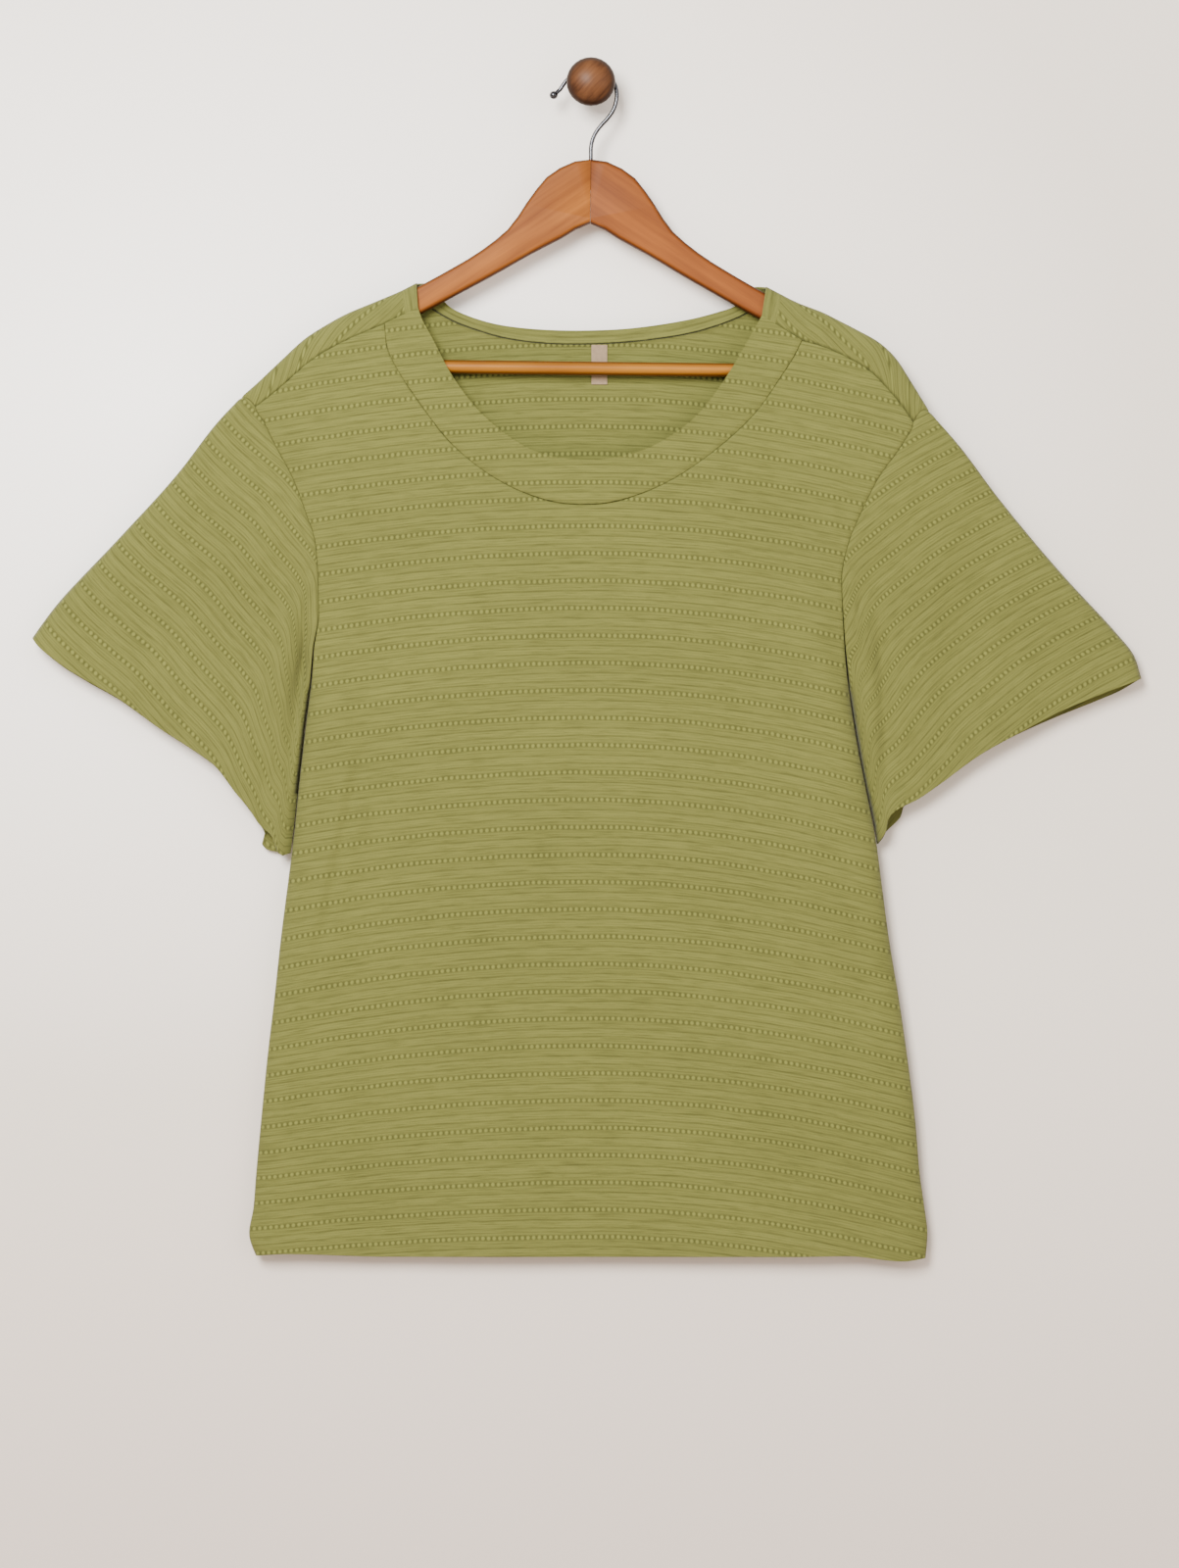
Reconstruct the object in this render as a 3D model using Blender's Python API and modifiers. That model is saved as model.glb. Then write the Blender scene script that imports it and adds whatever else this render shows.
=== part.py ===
"""A short-sleeved knitted blouse on a wooden hanger, hung on a round knob on a wall.

The origin is the centre of the knob's flat back, where it meets the wall. The wall is the plane y = 0,
the viewer looks along +Y, +X is the viewer's right and +Z is up. Sizes are in millimetres, and MM turns
them into metres where a mesh is made.
"""
import math
from collections import namedtuple

import bmesh
import bpy
import numpy as np
from mathutils import Matrix, Vector

MM = 0.001
SEAM_GAP = 0.3
BINDING_GAP = 1.1

# Cloth
CLOTH = 1.2
BAND_CLOTH = 2.2
BINDING_CLOTH = 1.6
LABEL_CLOTH = 0.8
HEM_DEPTH = 13.0
HEM_CLOTH = 2.2
BAND_PROUD = 0.5
BAND_END_GAP = 0.45

# Depths that the hanger gives to the cloth that hangs over it
HANGER_Y = -20.0
SHOULDER_FRONT = 8.5
SHOULDER_BACK = 8.8
ARCH_DROP = 9.0
ARCH_POWER = 3.0

# Body
UNDERARM_Z = -430.0
LEFT_CORNER_Z = -231.7
RIGHT_CORNER_Z = -242.9
SIDE_ROLL = 20.0
ROLL_POWER = 2.2
# How far above the underarm the armhole takes to open to the full depth of the body
ARMHOLE_OPENING = {"left": 95.0, "right": 130.0}

Section = namedtuple("Section", "z left right back_left back_right front back seam")
BODY = [
    Section(-842.0, -238.5, 239.0, -238.5, 239.0, -17.8, -5.5, -11.0),
    Section(-822.0, -244.0, 240.5, -244.0, 240.5, -18.2, -5.3, -11.0),
    Section(-804.0, -241.0, 238.0, -241.0, 238.0, -18.6, -5.1, -11.0),
    Section(-780.0, -238.5, 234.5, -238.5, 234.5, -19.2, -4.8, -11.2),
    Section(-738.0, -232.5, 229.0, -232.5, 229.0, -20.0, -4.5, -11.5),
    Section(-696.0, -229.0, 222.0, -229.0, 222.0, -20.7, -4.3, -11.8),
    Section(-654.0, -224.5, 217.5, -224.5, 217.5, -21.4, -4.1, -12.0),
    Section(-612.0, -220.5, 212.0, -220.5, 212.0, -22.1, -4.0, -12.3),
    Section(-570.0, -214.0, 205.0, -214.0, 205.0, -22.9, -3.8, -12.7),
    Section(-539.0, -210.5, 201.0, -210.5, 201.0, -23.5, -3.6, -13.0),
    Section(-501.0, -207.0, 195.0, -207.0, 195.0, -24.2, -3.5, -13.3),
    Section(-464.0, -203.0, 189.5, -203.0, 189.5, -24.9, -3.5, -13.7),
    Section(-430.0, -200.5, 184.5, -200.5, 184.5, -25.6, -3.7, -14.0),
    Section(-404.0, -198.0, 181.7, -199.0, 183.5, -26.0, -4.0, -14.3),
    Section(-380.0, -194.2, 180.0, -198.2, 183.5, -26.4, -4.4, -14.8),
    Section(-354.0, -194.6, 178.8, -199.5, 185.5, -26.8, -5.0, -15.5),
    Section(-329.0, -196.5, 183.5, -203.5, 190.0, -27.2, -5.8, -16.5),
    Section(-305.0, -204.0, 193.5, -210.0, 198.0, -27.6, -6.8, -17.5),
    Section(-283.0, -212.2, 204.5, -219.5, 209.0, -27.9, -8.0, -18.5),
    Section(-258.0, -225.5, 222.0, -234.0, 226.0, -28.2, -9.5, -19.3),
    Section(-243.0, -232.8, 229.6, -244.0, 241.5, -28.4, -10.4, -19.7),
    Section(-231.7, -239.0, 229.6, -249.5, 241.5, -28.5, -11.0, -20.0),
    Section(-210.0, -239.0, 229.6, -249.5, 241.5, -28.5, -11.2, -20.0),
]

HemPoint = namedtuple("HemPoint", "x z")
HEM = [
    HemPoint(-244.0, -838.5),
    HemPoint(-216.0, -836.6),
    HemPoint(-142.0, -838.6),
    HemPoint(142.0, -838.6),
    HemPoint(183.0, -838.0),
    HemPoint(223.0, -841.8),
    HemPoint(241.0, -839.6),
]

# The soft folds that are large enough for the panels: a ridge where the rise is positive
Fold = namedtuple("Fold", "x_top z_top x_low z_low rise width")
FRONT_FOLDS = [
    Fold(-163.0, -470.0, -204.0, -690.0, 1.6, 16.0),
    Fold(-120.0, -560.0, -150.0, -842.0, -1.4, 34.0),
    Fold(128.0, -520.0, 158.0, -842.0, 1.5, 36.0),
    Fold(12.0, -600.0, 20.0, -842.0, -1.2, 44.0),
    Fold(168.0, -380.0, 196.0, -640.0, 1.2, 22.0),
]
BACK_FOLDS = [
    Fold(-90.0, -330.0, -130.0, -842.0, 1.6, 40.0),
    Fold(10.0, -260.0, -20.0, -842.0, -1.3, 46.0),
    Fold(110.0, -360.0, 140.0, -842.0, 1.5, 38.0),
    Fold(-180.0, -480.0, -206.0, -760.0, 1.2, 20.0),
]

# The ridge of the shoulders over the hanger, seen from the front
RidgePoint = namedtuple("RidgePoint", "x z")
RIDGE = {
    "left": [
        RidgePoint(-250.1, -224.7),
        RidgePoint(-239.4, -215.4),
        RidgePoint(-221.9, -198.8),
        RidgePoint(-203.7, -182.2),
        RidgePoint(-190.4, -173.6),
        RidgePoint(-175.7, -165.4),
        RidgePoint(-155.4, -156.8),
        RidgePoint(-135.1, -148.2),
        RidgePoint(-124.6, -142.8),
        RidgePoint(-112.0, -138.0),
    ],
    "right": [
        RidgePoint(112.0, -139.8),
        RidgePoint(125.3, -145.4),
        RidgePoint(147.0, -156.6),
        RidgePoint(165.2, -165.2),
        RidgePoint(176.4, -172.6),
        RidgePoint(191.1, -181.2),
        RidgePoint(205.0, -188.4),
        RidgePoint(217.0, -198.8),
        RidgePoint(229.6, -215.0),
        RidgePoint(242.2, -235.6),
    ],
}

# Forward shoulder seams, from the armhole to the neckband, then on to the back neck binding
SeamPoint = namedtuple("SeamPoint", "x z")
SHOULDER_SEAM = {
    "left": [
        SeamPoint(-239.0, -231.7),
        SeamPoint(-226.0, -221.5),
        SeamPoint(-215.6, -212.5),
        SeamPoint(-198.1, -197.6),
        SeamPoint(-175.0, -184.4),
        SeamPoint(-158.2, -177.0),
        SeamPoint(-147.0, -172.4),
    ],
    "right": [
        SeamPoint(229.6, -242.9),
        SeamPoint(221.2, -230.5),
        SeamPoint(211.4, -219.0),
        SeamPoint(200.9, -207.8),
        SeamPoint(186.2, -198.2),
        SeamPoint(168.0, -189.8),
        SeamPoint(150.2, -184.4),
    ],
}
EDGE_STRIP = 0.001
SHOULDER_STEPS = [0.0, 0.0015, 0.03, 0.08, 0.18, 0.36, 0.57, 0.79, 1.0]
# Where the back neck binding crosses the shoulder: behind, on the ridge and at the forward seam
BindingSeam = namedtuple("BindingSeam", "back_x ridge_x seam_x")
BINDING_SEAM = {
    "left": BindingSeam(-124.0, -135.0, -132.3),
    "right": BindingSeam(124.5, 136.0, 131.5),
}
# Where the armhole seam crosses the shoulder: behind and on the ridge
ArmholeTop = namedtuple("ArmholeTop", "back_x ridge_x")
ARMHOLE_TOP = {"left": ArmholeTop(-249.5, -250.1), "right": ArmholeTop(241.5, 242.2)}

# Neckband: its seam to the front panel, and the free edge of the neckline, left to right
NeckPoint = namedtuple("NeckPoint", "x z")
BAND_SEAM = [
    NeckPoint(-147.0, -172.4),
    NeckPoint(-145.6, -187.0),
    NeckPoint(-141.4, -199.0),
    NeckPoint(-124.3, -225.8),
    NeckPoint(-95.9, -261.5),
    NeckPoint(-61.6, -286.3),
    NeckPoint(-28.0, -298.9),
    NeckPoint(-2.8, -301.1),
    NeckPoint(18.6, -298.6),
    NeckPoint(52.5, -286.3),
    NeckPoint(90.0, -261.5),
    NeckPoint(117.6, -235.5),
    NeckPoint(136.9, -207.9),
    NeckPoint(144.6, -195.8),
    NeckPoint(150.2, -184.4),
]
NECK_EDGE = [
    NeckPoint(-123.2, -161.0),
    NeckPoint(-120.2, -169.6),
    NeckPoint(-113.4, -182.0),
    NeckPoint(-99.4, -208.6),
    NeckPoint(-81.2, -233.1),
    NeckPoint(-61.6, -250.6),
    NeckPoint(-42.0, -262.5),
    NeckPoint(-20.6, -268.3),
    NeckPoint(-2.0, -269.6),
    NeckPoint(12.0, -268.6),
    NeckPoint(39.9, -261.5),
    NeckPoint(61.6, -249.2),
    NeckPoint(77.7, -235.6),
    NeckPoint(98.0, -207.9),
    NeckPoint(114.8, -179.2),
    NeckPoint(121.8, -166.6),
]
# Back neck: the seam of the binding and its free edge, left to right
BINDING_LOWER = [
    NeckPoint(-113.4, -160.4),
    NeckPoint(-99.4, -168.7),
    NeckPoint(-83.3, -175.0),
    NeckPoint(-61.6, -181.2),
    NeckPoint(-35.0, -184.8),
    NeckPoint(-8.4, -185.6),
    NeckPoint(18.6, -184.6),
    NeckPoint(45.5, -182.0),
    NeckPoint(72.1, -177.6),
    NeckPoint(95.2, -170.6),
    NeckPoint(112.4, -163.0),
]
BINDING_UPPER = [
    NeckPoint(-101.0, -158.9),
    NeckPoint(-88.6, -165.0),
    NeckPoint(-70.7, -170.6),
    NeckPoint(-52.8, -173.6),
    NeckPoint(-28.0, -175.5),
    NeckPoint(-2.8, -175.8),
    NeckPoint(22.2, -174.8),
    NeckPoint(45.5, -172.2),
    NeckPoint(72.1, -167.6),
    NeckPoint(90.0, -162.9),
    NeckPoint(103.5, -158.2),
]
BINDING_EDGE = {
    "left": BindingSeam(-112.0, -124.6, -123.2),
    "right": BindingSeam(113.0, 125.3, 121.8),
}

# Sleeves: outline points from the shoulder to the cuff, along the underarm fold, and round the cuff
SleevePoint = namedtuple("SleevePoint", "x z")
SLEEVE_TOP = {
    "left": [
        SleevePoint(-250.1, -224.7),
        SleevePoint(-268.1, -243.6),
        SleevePoint(-296.1, -279.5),
        SleevePoint(-338.1, -326.2),
        SleevePoint(-380.1, -371.0),
        SleevePoint(-397.6, -394.5),
    ],
    "right": [
        SleevePoint(242.2, -235.6),
        SleevePoint(263.9, -261.1),
        SleevePoint(291.9, -298.2),
        SleevePoint(333.9, -348.6),
        SleevePoint(375.9, -394.1),
        SleevePoint(391.5, -416.5),
    ],
}
SLEEVE_UNDER = {
    "left": [
        SleevePoint(-200.8, -430.4),
        SleevePoint(-204.4, -455.0),
        SleevePoint(-209.1, -501.0),
        SleevePoint(-212.6, -530.0),
        SleevePoint(-216.0, -550.0),
    ],
    "right": [
        SleevePoint(184.8, -430.4),
        SleevePoint(190.2, -455.0),
        SleevePoint(197.3, -501.0),
        SleevePoint(201.4, -526.0),
        SleevePoint(204.4, -541.0),
    ],
}
SLEEVE_CUFF = {
    "left": [
        SleevePoint(-216.0, -550.0),
        SleevePoint(-222.0, -551.0),
        SleevePoint(-228.0, -540.0),
        SleevePoint(-244.3, -514.5),
        SleevePoint(-265.3, -486.0),
        SleevePoint(-298.9, -465.6),
        SleevePoint(-335.3, -438.9),
        SleevePoint(-378.0, -410.2),
        SleevePoint(-397.6, -394.5),
    ],
    "right": [
        SleevePoint(204.4, -541.0),
        SleevePoint(211.4, -533.0),
        SleevePoint(230.3, -508.8),
        SleevePoint(264.6, -485.6),
        SleevePoint(308.7, -460.2),
        SleevePoint(354.2, -440.3),
        SleevePoint(391.5, -416.5),
    ],
}
SLEEVE_CUFF_BACK = {
    "left": [
        SleevePoint(-216.0, -550.0),
        SleevePoint(-225.4, -549.5),
        SleevePoint(-235.2, -545.5),
        SleevePoint(-248.5, -518.0),
        SleevePoint(-267.5, -489.0),
        SleevePoint(-300.5, -468.0),
        SleevePoint(-337.0, -441.5),
        SleevePoint(-379.5, -412.5),
        SleevePoint(-397.6, -394.5),
    ],
    "right": [
        SleevePoint(204.4, -541.0),
        SleevePoint(218.5, -530.5),
        SleevePoint(234.0, -513.0),
        SleevePoint(267.5, -491.0),
        SleevePoint(311.5, -465.6),
        SleevePoint(357.0, -445.6),
        SleevePoint(391.5, -416.5),
    ],
}
SLEEVE_STEPS = [0.0, 0.013, 0.045, 0.1, 0.17, 0.26, 0.37, 0.48, 0.59, 0.7, 0.81, 0.91, 1.0]
SleeveDepth = namedtuple("SleeveDepth", "top_cuff under_cuff half_shoulder half_cuff fold_width")
SLEEVE_DEPTH = SleeveDepth(-11.5, -10.6, 8.6, 6.6, 18.0)
# The hollow beside the armhole seam: how deep it goes and how wide it is, at the underarm
VALLEY_DEPTH = {"left": 4.0, "right": 3.4}
VALLEY_WIDTH = 20.0
# How far the cloth beside the lower armhole stands off the body
STAND_OFF = 7.0
SEAM_FLAT = 3.0
DIVE_UNDERARM = 11.0
DIVE_SHOULDER = 90.0

# Grid sizes of the cloth
LOWER_ROWS = 15
UPPER_STEPS = [0.012, 0.04, 0.1, 0.19, 0.3, 0.42, 0.55, 0.69, 0.84, 1.0]
UPPER_ROWS = len(UPPER_STEPS)
NECK_COLUMNS = 20
BACK_NECK_COLUMNS = 14
ARCH_ROWS = 4

# Label in the back neck
LABEL_X = (0.4, 11.7)
LABEL_Z = (-214.5, -186.2)

# Hanger
HANGER_TILT = math.radians(0.7)
TILT_PIVOT_Z = -64.0
ARM_THICK = 10.0
ARM_ROUND = 3.0
GLUE_GAP = 0.3
BAR_RADIUS = 4.9
BAR_Z = -203.7
BAR_END = 201.0
BAR_SHOULDER = 165.0
PIN_RADIUS = 3.0
PIN_CUT_START = 158.0
ARM_STEPS = 44
JOINT_OVERLAP = 8.0
WIRE_RADIUS = 1.5
BALL_RADIUS = 3.0
HOOK_STEPS = 40
ArmPoint = namedtuple("ArmPoint", "x z")
ARM_OUTLINE = [
    ArmPoint(0.0, -54.6),
    ArmPoint(9.0, -55.4),
    ArmPoint(19.6, -59.5),
    ArmPoint(30.4, -66.5),
    ArmPoint(36.6, -73.5),
    ArmPoint(46.6, -87.5),
    ArmPoint(55.6, -101.5),
    ArmPoint(62.3, -108.5),
    ArmPoint(80.5, -122.6),
    ArmPoint(104.0, -136.8),
    ArmPoint(122.0, -146.8),
    ArmPoint(136.0, -153.8),
    ArmPoint(150.0, -159.4),
    ArmPoint(165.0, -166.2),
    ArmPoint(178.0, -174.0),
    ArmPoint(191.0, -181.8),
    ArmPoint(203.0, -188.8),
    ArmPoint(210.0, -196.0),
    ArmPoint(211.5, -204.5),
    ArmPoint(207.0, -211.5),
    ArmPoint(199.0, -213.5),
    ArmPoint(186.0, -211.0),
    ArmPoint(172.0, -200.0),
    ArmPoint(140.0, -177.5),
    ArmPoint(104.0, -157.5),
    ArmPoint(66.0, -136.5),
    ArmPoint(42.0, -122.5),
    ArmPoint(16.0, -108.5),
    ArmPoint(4.0, -100.6),
    ArmPoint(0.0, -100.0),
]
HookPoint = namedtuple("HookPoint", "x z")
HOOK = [
    HookPoint(-26.6, -8.4),
    HookPoint(-22.6, -5.2),
    HookPoint(-17.6, 1.8),
    HookPoint(-10.4, 7.4),
    HookPoint(0.0, 9.8),
    HookPoint(10.4, 7.0),
    HookPoint(16.6, 0.4),
    HookPoint(18.6, -8.6),
    HookPoint(16.6, -18.0),
    HookPoint(12.4, -24.6),
    HookPoint(7.0, -30.4),
    HookPoint(2.8, -36.4),
    HookPoint(0.3, -43.6),
    HookPoint(0.0, -54.0),
    HookPoint(0.0, -76.0),
]
SHANK_HOLE = 1.85
SHANK_TOP = 50.0
SHANK_DEPTH = 78.0

# Wall knob, turned: radius and distance from the wall
KnobPoint = namedtuple("KnobPoint", "radius out")
KNOB = [
    KnobPoint(0.0, 38.0),
    KnobPoint(5.0, 37.6),
    KnobPoint(10.0, 36.2),
    KnobPoint(14.0, 33.9),
    KnobPoint(16.6, 31.0),
    KnobPoint(17.5, 28.0),
    KnobPoint(16.8, 25.6),
    KnobPoint(15.0, 24.4),
    KnobPoint(8.0, 24.0),
    KnobPoint(8.0, 3.0),
    KnobPoint(9.0, 1.0),
    KnobPoint(10.0, 0.0),
    KnobPoint(0.0, 0.0),
]
KNOB_SIDES = 28

OLIVE = (0.33, 0.30, 0.105, 1.0)
LABEL_BEIGE = (0.55, 0.42, 0.30, 1.0)
BEECH = (0.50, 0.22, 0.085, 1.0)
DARK_BEECH = (0.33, 0.145, 0.075, 1.0)
STEEL = (0.55, 0.54, 0.52, 1.0)


# Curves and surfaces

def smoothstep(value):
    """0 below 0, 1 above 1, and level at both ends."""
    t = min(max(value, 0.0), 1.0)
    return t * t * (3.0 - 2.0 * t)


def rounded(value, power=ROLL_POWER):
    """A quarter of a superellipse: rises steeply from 0 and is level at 1."""
    t = min(max(value, 0.0), 1.0)
    return (1.0 - (1.0 - t) ** power) ** (1.0 / power)


def steady(xs, ys, x):
    """A smooth curve through a table that never overshoots its rows."""
    xs = np.asarray(xs, float)
    ys = np.asarray(ys, float)
    if x <= xs[0]:
        return float(ys[0])
    if x >= xs[-1]:
        return float(ys[-1])
    step = np.diff(xs)
    slope = np.diff(ys) / step
    tangent = np.zeros(len(xs))
    tangent[0] = slope[0]
    tangent[-1] = slope[-1]
    for i in range(1, len(xs) - 1):
        if slope[i - 1] * slope[i] > 0.0:
            tangent[i] = 2.0 * slope[i - 1] * slope[i] / (slope[i - 1] + slope[i])
    i = int(np.searchsorted(xs, x)) - 1
    t = (x - xs[i]) / step[i]
    value = ys[i] * (2 * t ** 3 - 3 * t ** 2 + 1) + ys[i + 1] * (3 * t ** 2 - 2 * t ** 3)
    value += step[i] * (tangent[i] * (t ** 3 - 2 * t ** 2 + t) + tangent[i + 1] * (t ** 3 - t ** 2))
    return float(value)


class Path:
    """A smooth curve through points, measured along its length from 0 to 1."""

    def __init__(self, points):
        rows = np.array([tuple(p) for p in points], float)
        ends = np.vstack([2 * rows[0] - rows[1], rows, 2 * rows[-1] - rows[-2]])
        dense = []
        for i in range(1, len(ends) - 2):
            a, b, c, d = ends[i - 1], ends[i], ends[i + 1], ends[i + 2]
            knots = [0.0]
            for p, q in ((a, b), (b, c), (c, d)):
                knots.append(knots[-1] + math.sqrt(max(np.linalg.norm(q - p), 1e-6)))
            for k in range(16):
                t = knots[1] + (knots[2] - knots[1]) * k / 16.0
                dense.append(self.blend((a, b, c, d), knots, t))
        dense.append(rows[-1])
        self.rows = np.array(dense)
        lengths = np.linalg.norm(np.diff(self.rows, axis=0), axis=1)
        self.length = float(lengths.sum())
        self.marks = np.concatenate([[0.0], np.cumsum(lengths)]) / self.length

    @staticmethod
    def blend(points, knots, t):
        a, b, c, d = points
        k0, k1, k2, k3 = knots
        ab = a * (k1 - t) / (k1 - k0) + b * (t - k0) / (k1 - k0)
        bc = b * (k2 - t) / (k2 - k1) + c * (t - k1) / (k2 - k1)
        cd = c * (k3 - t) / (k3 - k2) + d * (t - k2) / (k3 - k2)
        abc = ab * (k2 - t) / (k2 - k0) + bc * (t - k0) / (k2 - k0)
        bcd = bc * (k3 - t) / (k3 - k1) + cd * (t - k1) / (k3 - k1)
        return abc * (k2 - t) / (k2 - k1) + bcd * (t - k1) / (k2 - k1)

    def at(self, t):
        t = min(max(t, 0.0), 1.0)
        return np.array([np.interp(t, self.marks, column) for column in self.rows.T])


def body(column, z):
    """One column of the body table, read at a height."""
    return steady([row.z for row in BODY], [getattr(row, column) for row in BODY], z)


def ridge(side, x):
    rows = RIDGE[side]
    return steady([row.x for row in rows], [row.z for row in rows], x)


def hem_height(x):
    return steady([row.x for row in HEM], [row.z for row in HEM], x)


def relief(folds, x, z):
    """How far the soft folds lift the cloth at a place, in millimetres."""
    total = 0.0
    for fold in folds:
        run = (fold.z_top - z) / (fold.z_top - fold.z_low)
        if 0.0 < run:
            centre = fold.x_top + (fold.x_low - fold.x_top) * run
            fade = smoothstep(run * 2.5) * (1.0 if fold.z_low < -800.0 else smoothstep((1.0 - run) * 2.5))
            total += fold.rise * fade * math.exp(-((x - centre) / fold.width) ** 2)
    return total


# Front and back panels

def edge_roll(side, z):
    """1 where the panel turns back to the side seam, 0 where it runs on into the sleeve."""
    return 1.0 - rounded((z - UNDERARM_Z) / ARMHOLE_OPENING[side])


def edge_depth(face, side, z):
    """Depth of the panel's edge: the side seam below the underarm, the armhole seam above it."""
    roll = edge_roll(side, z)
    return body(face, z) * (1.0 - roll) + body("seam", z) * roll


def panel_edges(face, z):
    prefix = "" if face == "front" else "back_"
    return body(prefix + "left", z), body(prefix + "right", z)


def panel_depth(face, x, z):
    """Depth of the outer face of the front or back panel."""
    left, right = panel_edges(face, z)
    lift = relief(FRONT_FOLDS, x, z) if face == "front" else -relief(BACK_FOLDS, x, z)
    depth = body(face, z) - lift
    for side, inward in (("left", x - left), ("right", right - x)):
        edge = edge_depth(face, side, z)
        roll = edge_roll(side, z)
        turn = roll * rounded(inward / SIDE_ROLL) + (1.0 - roll) * smoothstep(inward / SIDE_ROLL)
        depth = edge + (depth - edge) * turn
    return depth


def panel_point(face, u, z):
    left, right = panel_edges(face, z)
    x = left + (right - left) * (u + 1.0) / 2.0
    depth = panel_depth(face, x, z)
    if z < UNDERARM_Z + 0.1:
        seam = body("seam", z)
        half_gap = SEAM_GAP / 2.0
        depth = min(depth, seam - half_gap) if face == "front" else max(depth, seam + half_gap)
    return np.array([x, depth, z])


def column_place(face, x, z):
    """Where a column lies across the panel, from -1 at its left edge to 1 at its right."""
    left, right = panel_edges(face, z)
    return (x - left) / (right - left) * 2.0 - 1.0


def shoulder_points(side):
    """Points of the forward shoulder seam, from the armhole to the neckband."""
    path = Path(SHOULDER_SEAM[side])
    return [path.at(step) for step in SHOULDER_STEPS]


def band_points():
    path = Path(BAND_SEAM)
    return [path.at(k / NECK_COLUMNS) for k in range(NECK_COLUMNS + 1)]


def front_top():
    """The front panel's upper edge from armhole to armhole, below the shoulder seams and the band."""
    left = shoulder_points("left")
    right = shoulder_points("right")[::-1]
    line = left + band_points()[1:-1] + right
    lowered = []
    for i, point in enumerate(line):
        before = line[max(i - 1, 0)]
        after = line[min(i + 1, len(line) - 1)]
        along = (after - before) / np.linalg.norm(after - before)
        down = np.array([along[1], -along[0]])
        at_end = i < 2 or i > len(line) - 3
        lowered.append(point + (np.array([0.0, -1.0]) if at_end else down) * SEAM_GAP)
    return lowered


def panel_rows(low, top):
    """Heights of one column's points: even steps to the underarm, then even steps to its top."""
    heights = [low, low + HEM_DEPTH]
    for k in range(1, LOWER_ROWS):
        heights.append(low + HEM_DEPTH + (UNDERARM_Z - low - HEM_DEPTH) * k / (LOWER_ROWS - 1))
    heights.extend(UNDERARM_Z + (top - UNDERARM_Z) * step for step in UPPER_STEPS)
    return heights


def panel_column(face, x, z, inward=None):
    """A column of points from the hem to one point of the panel's upper edge.

    The columns at a side seam state how far in from the panel's edge they run.
    """
    u = column_place(face, x, z)
    if inward is not None:
        u = math.copysign(1.0 - inward, u)
    left, right = panel_edges(face, -842.0)
    low = hem_height(left + (right - left) * (u + 1.0) / 2.0)
    return [panel_point(face, u, height) for height in panel_rows(low, z)]


def square_sides(columns):
    """The last strip of the panel before each side seam stands square to the seam."""
    for edge, neighbour in ((0, 1), (-1, -2)):
        for k in range(LOWER_ROWS + 4):
            columns[edge][k][0] = columns[neighbour][k][0]
    return columns


def front_grid():
    top = front_top()
    inward = dict(zip((0, 1, len(top) - 1, len(top) - 2), (0.0, EDGE_STRIP) * 2))
    return square_sides([panel_column("front", x, z, inward.get(i)) for i, (x, z) in enumerate(top)])


def shoulder_over(side, back_x, ridge_x, seam_x, seam_z):
    """The back panel's run over the shoulder, from behind the hanger to the forward seam."""
    points = []
    for k in range(1, 2 * ARCH_ROWS + 1):
        if k <= ARCH_ROWS:
            turn = k / ARCH_ROWS * math.pi / 2.0
            x = back_x + (ridge_x - back_x) * math.sin(turn) ** 2
            y = HANGER_Y + SHOULDER_BACK * math.cos(turn) ** (2.0 / ARCH_POWER)
            z = ridge(side, x) - ARCH_DROP * (1.0 - math.sin(turn) ** (2.0 / ARCH_POWER))
        else:
            turn = (k - ARCH_ROWS) / ARCH_ROWS * math.pi / 2.0
            fall = 1.0 - max(math.cos(turn), 0.0) ** (2.0 / ARCH_POWER)
            x = ridge_x + (seam_x - ridge_x) * fall
            y = HANGER_Y - SHOULDER_FRONT * math.sin(turn) ** (2.0 / ARCH_POWER)
            z = ridge(side, x) * (1.0 - fall) + seam_z * fall
        points.append(np.array([x, y, z]))
    return points


def neck_seam_height(side, x):
    """Height of the forward seam where the neckband meets the back, a straight line."""
    end = {"left": 0, "right": -1}[side]
    inner, outer = NECK_EDGE[end], BAND_SEAM[end]
    return inner.z + (outer.z - inner.z) * (x - inner.x) / (outer.x - inner.x)


def back_shoulder(side):
    """Columns of the back panel that go over one shoulder, from the armhole to the binding."""
    columns = []
    seam = [tuple(p) for p in shoulder_points(side)]
    binding = BINDING_SEAM[side]
    seam.append((binding.seam_x, neck_seam_height(side, binding.seam_x)))
    top = ARMHOLE_TOP[side]
    for i, (seam_x, seam_z) in enumerate(seam):
        share = (seam_x - seam[0][0]) / (binding.seam_x - seam[0][0])
        back_x = top.back_x + (binding.back_x - top.back_x) * share
        ridge_x = top.ridge_x + (binding.ridge_x - top.ridge_x) * share
        inward = {0: 0.0, 1: EDGE_STRIP}.get(i)
        column = panel_column("back", back_x, ridge(side, back_x) - ARCH_DROP, inward)
        column[-1][1] = HANGER_Y + SHOULDER_BACK
        columns.append(column + shoulder_over(side, back_x, ridge_x, seam_x, seam_z))
    return columns


def back_neck_line():
    """The seam of the back neck binding, between the two shoulders."""
    left = BINDING_SEAM["left"]
    right = BINDING_SEAM["right"]
    start = (left.back_x, ridge("left", left.back_x) - ARCH_DROP)
    end = (right.back_x, ridge("right", right.back_x) - ARCH_DROP)
    return Path([start] + list(BINDING_LOWER) + [end])


def back_grid():
    """Columns of the back panel. Those under the neck stop at the binding."""
    neck = back_neck_line()
    columns = back_shoulder("left")
    for k in range(1, BACK_NECK_COLUMNS):
        x, z = neck.at(k / BACK_NECK_COLUMNS)
        columns.append(panel_column("back", x, z))
    columns.extend(back_shoulder("right")[::-1])
    return square_sides(columns)


# Sleeves

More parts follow.
